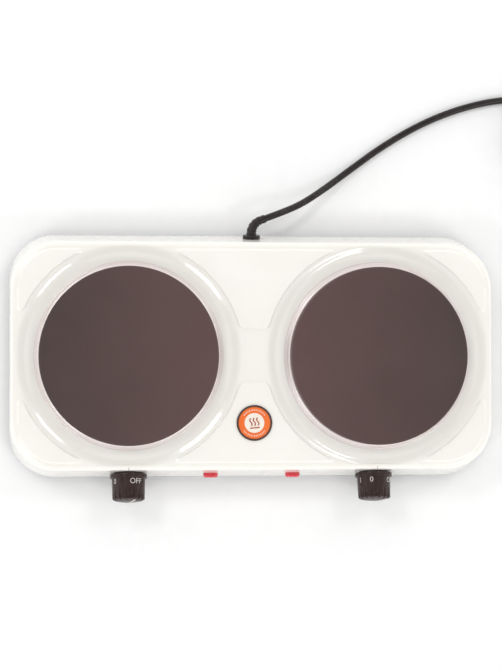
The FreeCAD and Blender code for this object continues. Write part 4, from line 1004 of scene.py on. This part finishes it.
strokes = [[Vector((x, bar_y)) for x in (-5 * mm, 0, 5 * mm)]]
for foot_x in (-3.6, 0, 3.6):
    wave = [(foot_x + math.sin(math.tau * step / 24), -2.9 + 8 * step / 24) for step in range(25)]
    strokes.append([Vector(place) * mm for place in wave])
sign = [ribbon(path, stroke, centre_top, sign_top) for path in strokes]
turned_sign = on_badge @ Matrix.Rotation(math.radians(5), 4, "Z")
fit(make("badge_steam_sign", [moved(part, turned_sign) for part in sign], rust_print), "housing",
    "badge_orange", "badge_emblem")

dashes = []
for i in range(2 * dashes_per_arc):
    arc_middle = 90 if i < dashes_per_arc else 270
    angle = math.radians(arc_middle + (i % dashes_per_arc - dashes_per_arc // 2) * dash_pitch)
    spoke = Vector((math.cos(angle), math.sin(angle)))
    dash_reach = (0.9, 0.6, 0.9, 0.75)[i % 4] * mm
    path = [spoke * (dash_radius + reach) for reach in (-dash_reach, 0, dash_reach)]
    dashes.append(moved(ribbon(path, dash_width, band_top, band_top + 0.06 * mm), on_badge))
band_dashes = make("badge_pale_dashes", dashes, cream_print)
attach(band_dashes, "housing")


# ---------------------------------------------------------------- mains lead
# A 7.2 mm round black PVC lead, 1.24 m long. It leaves the back through a moulded strain relief,
# comes down to the table and ends in a neat tied coil, with its two-pin plug lying beside it.
cord_diameter = 7.2 * mm
cord_radius = cord_diameter / 2
relief_end = Vector((14.568 * mm, 158.857 * mm, 30 * mm))
coil_middle = Vector(((319.4 + 14.568) * mm, (92.8 + 158.857) * mm, 0.0))
coil_mean_radius = 39.5 * mm
coil_low = 4.4 * mm           # height of the lower turns, which lie on the tie
coil_high = 11.6 * mm
lead_in = 32 * mm
lead_out = 34 * mm
run_places = ((18.4, 6.8, 28.0), (41.4, 17.3, 19.0), (67.4, 34.8, 9.0), (97.4, 57.3, 3.8),
              (132.4, 82.8, 3.6), (172.4, 106.3, 3.6), (213.4, 123.3, 3.6), (253.4, 133.3, 3.8))
tail_places = ((359.4, 44.3, 12.6), (360.4, 31.3, 16.4))
plug_middle = Vector((375.468 * mm, 121.157 * mm, 18.5 * mm))   # middle of its face
plug_length = 56 * mm


def lead_place(place):
    """A place of the route, given in millimetres from the end of the relief and up from the table."""
    return Vector((relief_end.x + place[0] * mm, relief_end.y + place[1] * mm, place[2] * mm))


points_per_turn = 18
coil_turns = 3.25
crossing = 60.0               # degrees of turn over which the lead changes places in the coil
to_inside, to_upper, to_outside = 285.0, 585.0, 885.0
points = [relief_end] + [lead_place(place) for place in run_places]
points.append(coil_middle + Vector((-lead_in, coil_mean_radius + cord_radius, coil_low)))
for i in range(round(points_per_turn * coil_turns) + 1):
    angle = 360.0 * i / points_per_turn
    inward = ease_between(angle, to_inside, to_inside + crossing)
    inward -= ease_between(angle, to_outside, to_outside + crossing)
    radius = coil_mean_radius + cord_radius * (1 - 2 * inward)
    height = coil_low + (coil_high - coil_low) * ease_between(angle, to_upper, to_upper + crossing)
    reach = radius / math.cos(math.pi / points_per_turn)
    turn = math.radians(angle)
    points.append(coil_middle + Vector((reach * math.sin(turn), reach * math.cos(turn), height)))
points.append(coil_middle + Vector((coil_mean_radius, -lead_out, coil_high)))
points += [lead_place(place) for place in tail_places]
points.append(plug_middle + Vector((0, plug_length, 0)))

lead_curve = bpy.data.curves.new("mains_lead", "CURVE")
lead_curve.dimensions = "3D"
lead_curve.bevel_depth = cord_radius
lead_curve.bevel_resolution = 7
lead_curve.use_fill_caps = True
spline = lead_curve.splines.new("NURBS")
spline.points.add(len(points) - 1)
for point, position in zip(spline.points, points):
    point.co = (*position, 1.0)
spline.order_u = 3
spline.use_endpoint_u = True
spline.resolution_u = 8
lead_pvc = moulded("black lead PVC", (0.012, 0.008, 0.008), (0.020, 0.014, 0.013), (0.2, 0.32),
                   0.7 * mm, 0.015 * mm, Specular_IOR_Level=0.35)
lead_curve.materials.append(lead_pvc)
mains_lead = bpy.data.objects.new("mains_lead", lead_curve)
bpy.context.scene.collection.objects.link(mains_lead)
fit(mains_lead, "housing", "cord_pvc", "cord_run", "cord_coil", "cord_tail")


# ---------------------------------------------------------------- strain relief
# One soft PVC moulding: a round flange that seats on the back wall, and a tapered, ringed sleeve
# that bends to the right with the lead.
gland_height = 30 * mm
back_draft = math.radians(12.0)
gland_seat = Vector((0.0, 137.352 * mm, gland_height))
flange_radius = 9.2 * mm
flange_depth = 4.2 * mm
relief_root = 1.5 * mm        # how far the sleeve starts inside the flange's face
relief_straight = 3 * mm
relief_bend_radius = 15 * mm
relief_bend = math.radians(70.0)
relief_tip = 5 * mm
relief_thick = 5.4 * mm       # radius at the root
relief_taper = 1.1 * mm
relief_grooves = 6
groove_depth = 0.45 * mm
relief_steps = 72


def on_back(shell):
    """Places a shell drawn with +Z outward on the back wall, at the gland."""
    lean = Matrix.Rotation(math.pi / 2 - back_draft, 4, "X")
    return moved(shell, Matrix.Translation(gland_seat) @ Matrix.Rotation(math.pi, 4, "Z") @ lean)


def relief_at(run):
    """Point and heading on the sleeve's centre line, run metres from its root."""
    arc = relief_bend_radius * relief_bend
    turn = min(max(run - relief_straight, 0), arc) / relief_bend_radius
    before = min(run, relief_straight)
    after = max(run - relief_straight - arc, 0)
    across = relief_bend_radius * (1 - math.cos(turn)) + after * math.sin(turn)
    along = before + relief_bend_radius * math.sin(turn) + after * math.cos(turn)
    root_y = gland_seat.y + flange_depth - relief_root
    return Vector((across, root_y + along, gland_height)), Vector((math.sin(turn), math.cos(turn), 0))


flange = turned(eased([(0, -1 * mm), (flange_radius, -1 * mm), (flange_radius, 0.2 * mm),
                       (flange_radius, flange_depth - 0.6 * mm), (flange_radius - 1.4 * mm, flange_depth),
                       (cord_radius, flange_depth), (0, flange_depth)], 0.7 * mm))
relief_length = relief_straight + relief_bend_radius * relief_bend + relief_tip
rings = []
for i in range(relief_steps + 1):
    share = i / relief_steps
    centre, heading = relief_at(share * relief_length)
    groove = groove_depth * ease_between(math.cos(math.tau * relief_grooves * share), 0.2, 0.9)
    radius = relief_thick - relief_taper * share - (groove if 0.1 < share < 0.93 else 0.0)
    sideways = heading.cross(Vector((0, 0, 1)))
    rings.append([centre + radius * (math.cos(a) * sideways + math.sin(a) * Vector((0, 0, 1)))
                  for a in (math.tau * k / 40 for k in range(40))])
relief = make("strain_relief", [on_back(flange), lofted(rings)], lead_pvc)
fit(relief, "housing", "cord_pvc", "cord_gland")


# ---------------------------------------------------------------- plug
# Two-pin plug moulded on the lead: a round face, a waisted grip with finger ribs, and a ringed
# neck. The pins are nickel-plated brass.
plug_profile = [(0, 0), (17.7, 0), (18.5, 0.8), (18.5, 11.0), (17.0, 12.6), (13.4, 14.4), (12.0, 16.5),
                (10.6, 27.0), (10.0, 38.0), (9.6, 42.0), (7.4, 43.0), (6.4, 44.0)]
neck_rings = [(6.3 - 0.13 * i - (0.5 if i % 2 else 0.0), 44.6 + 0.8 * i) for i in range(14)]
plug_end = [(4.3, 56.0), (0, 56.0)]
grip_start, grip_full, grip_fade, grip_end = 13 * mm, 20 * mm, 38 * mm, 43 * mm
first_rib = 16 * mm
grip_ribs = 7
ribbed_length = 26 * mm
plug_vertices, plug_faces = turned([(r * mm, z * mm) for r, z in
                                    eased(plug_profile, 1.0, 3) + neck_rings + plug_end], 96)
for vertex in plug_vertices:
    flattened = ease_between(vertex.z, grip_start, grip_full)
    flattened *= 1 - ease_between(vertex.z, grip_fade, grip_end)
    rib_turn = math.tau * (vertex.z - first_rib) * grip_ribs / ribbed_length
    rib = ease_between(math.cos(rib_turn), 0.0, 0.8)
    side = abs(vertex.x) / max(vertex.xy.length, 1e-6)
    vertex.x *= 1 - flattened * (0.10 + 0.07 * rib * side)
lying = Matrix.Translation(plug_middle) @ Matrix.Rotation(-math.pi / 2, 4, "X")
plug = make("plug_moulding", [moved((plug_vertices, plug_faces), lying)], lead_pvc, 30.0)
fit(plug, "housing", "cord_pvc", "plug_body")

pin_profile = eased([(0, -19.0), (1.3, -19.0), (2.4, -17.6), (2.4, 0.6), (0, 0.6)], 0.6, 4)
pin_shell = turned([(r * mm, z * mm) for r, z in pin_profile], 40)
pins = [moved(pin_shell, lying @ Matrix.Translation((side * 9.5 * mm, 0, 0))) for side in (-1, 1)]
nickel = moulded("nickel plate", (0.66, 0.63, 0.57), (0.58, 0.55, 0.5), (0.14, 0.3), 0.4 * mm,
                 0.006 * mm, (0.8, 0.62, 0.35), metallic=1.0)
fit(make("plug_contacts", pins, nickel), "housing", "pin_nickel", "plug_pins")


# ---------------------------------------------------------------- coil tie
# A strap of soft plastic, closed to a loop round the lead's turns to keep the coil together. It
# passes flat between the turns and the table.
tie_angle = math.radians(200.0)
tie_inner = coil_mean_radius - cord_diameter - 0.35 * mm
tie_outer = coil_mean_radius + cord_diameter + 0.35 * mm
tie_top = 15.2 * mm
tie_sheet = 0.8 * mm
tie_width = 9 * mm
tie_bend = 2.4 * mm
tie_slack = 0.02 * mm
at_tie = Matrix.Translation(coil_middle) @ Matrix.Rotation(tie_angle, 4, "Z")


def strap_loop(out, across):
    """Ring of points round the turns, grown by out, at a place across the strap's width."""
    left, right, low, high = tie_inner - out, tie_outer + out, tie_sheet - out, tie_top + out
    path = [((left + right) / 2, low), (right, low), (right, high), (left, high), (left, low)]
    path.append(path[0])
    return [Vector((p.x, across, p.y)) for p in eased(path, tie_bend, 6)[:-1]]


strap_rings = [strap_loop(tie_sheet, -tie_width / 2), strap_loop(tie_sheet, tie_width / 2),
               strap_loop(tie_slack, tie_width / 2), strap_loop(tie_slack, -tie_width / 2)]
strap_vertices, strap_faces = lofted(strap_rings + strap_rings[:1], False)
strap = moved((strap_vertices, [face[::-1] for face in strap_faces]), at_tie)
tie_plastic = moulded("tie plastic", (0.03, 0.03, 0.032), (0.045, 0.045, 0.048), (0.35, 0.55), 0.5 * mm,
                      0.02 * mm, (0.12, 0.12, 0.12))
fit(make("coil_strap", [strap], tie_plastic, 40.0), "housing", "tie_plastic", "coil_tie")


# ---------------------------------------------------------------- floor and light
# Pale table top and plain studio light: a room that is bright low down and dimmer overhead, so that
# flat enamel shows its own colour, and four small soft panels at the corners that slopes mirror.
floor_half = 6.0
floor_corners = ((-1, -1), (1, -1), (1, 1), (-1, 1))
floor_vertices = [Vector((x * floor_half, y * floor_half, 0)) for x, y in floor_corners]
floor_paint = moulded("table top", (0.95, 0.95, 0.95), (0.93, 0.93, 0.93), (0.7, 0.8), 2 * mm, 0.02 * mm)
table_top = make("table_top", [(floor_vertices, [[0, 1, 2, 3]])], floor_paint)

world = bpy.data.worlds.new("studio")
bpy.context.scene.world = world
world.use_nodes = True
sky = world.node_tree
sky.nodes["Background"].inputs["Color"].default_value = (1.0, 1.0, 1.0, 1.0)
height = add(sky, "SeparateXYZ", {0: add(sky, "TexCoord").outputs["Generated"]}).outputs["Z"]
haze = add(sky, "MapRange", {"Value": height, "From Min": 0.25, "From Max": 0.7,
                             "To Min": 1.55, "To Max": 0.54})
sky.links.new(haze.outputs["Result"], sky.nodes["Background"].inputs["Strength"])
bpy.context.scene.view_settings.view_transform = "Standard"


def soft_panel(name, place, width, height, watts):
    """Oblong soft light that shines at the middle of the appliance."""
    light = bpy.data.lights.new(name, "AREA")
    light.shape = "RECTANGLE"
    light.size = width
    light.size_y = height
    light.energy = watts
    made = bpy.data.objects.new(name, light)
    made.location = place
    made.rotation_euler = (Vector((0, 0, 0.05)) - Vector(place)).to_track_quat("-Z", "Y").to_euler()
    bpy.context.scene.collection.objects.link(made)


soft_panel("back left panel", (-1.15, 1.15, 2.05), 0.8, 0.4, 9)
soft_panel("front left panel", (-1.2, -1.1, 2.05), 0.7, 0.35, 7)
soft_panel("front right panel", (1.1, -1.2, 2.05), 0.7, 0.35, 7)
soft_panel("back right panel", (1.15, 1.15, 2.05), 0.6, 0.35, 6)
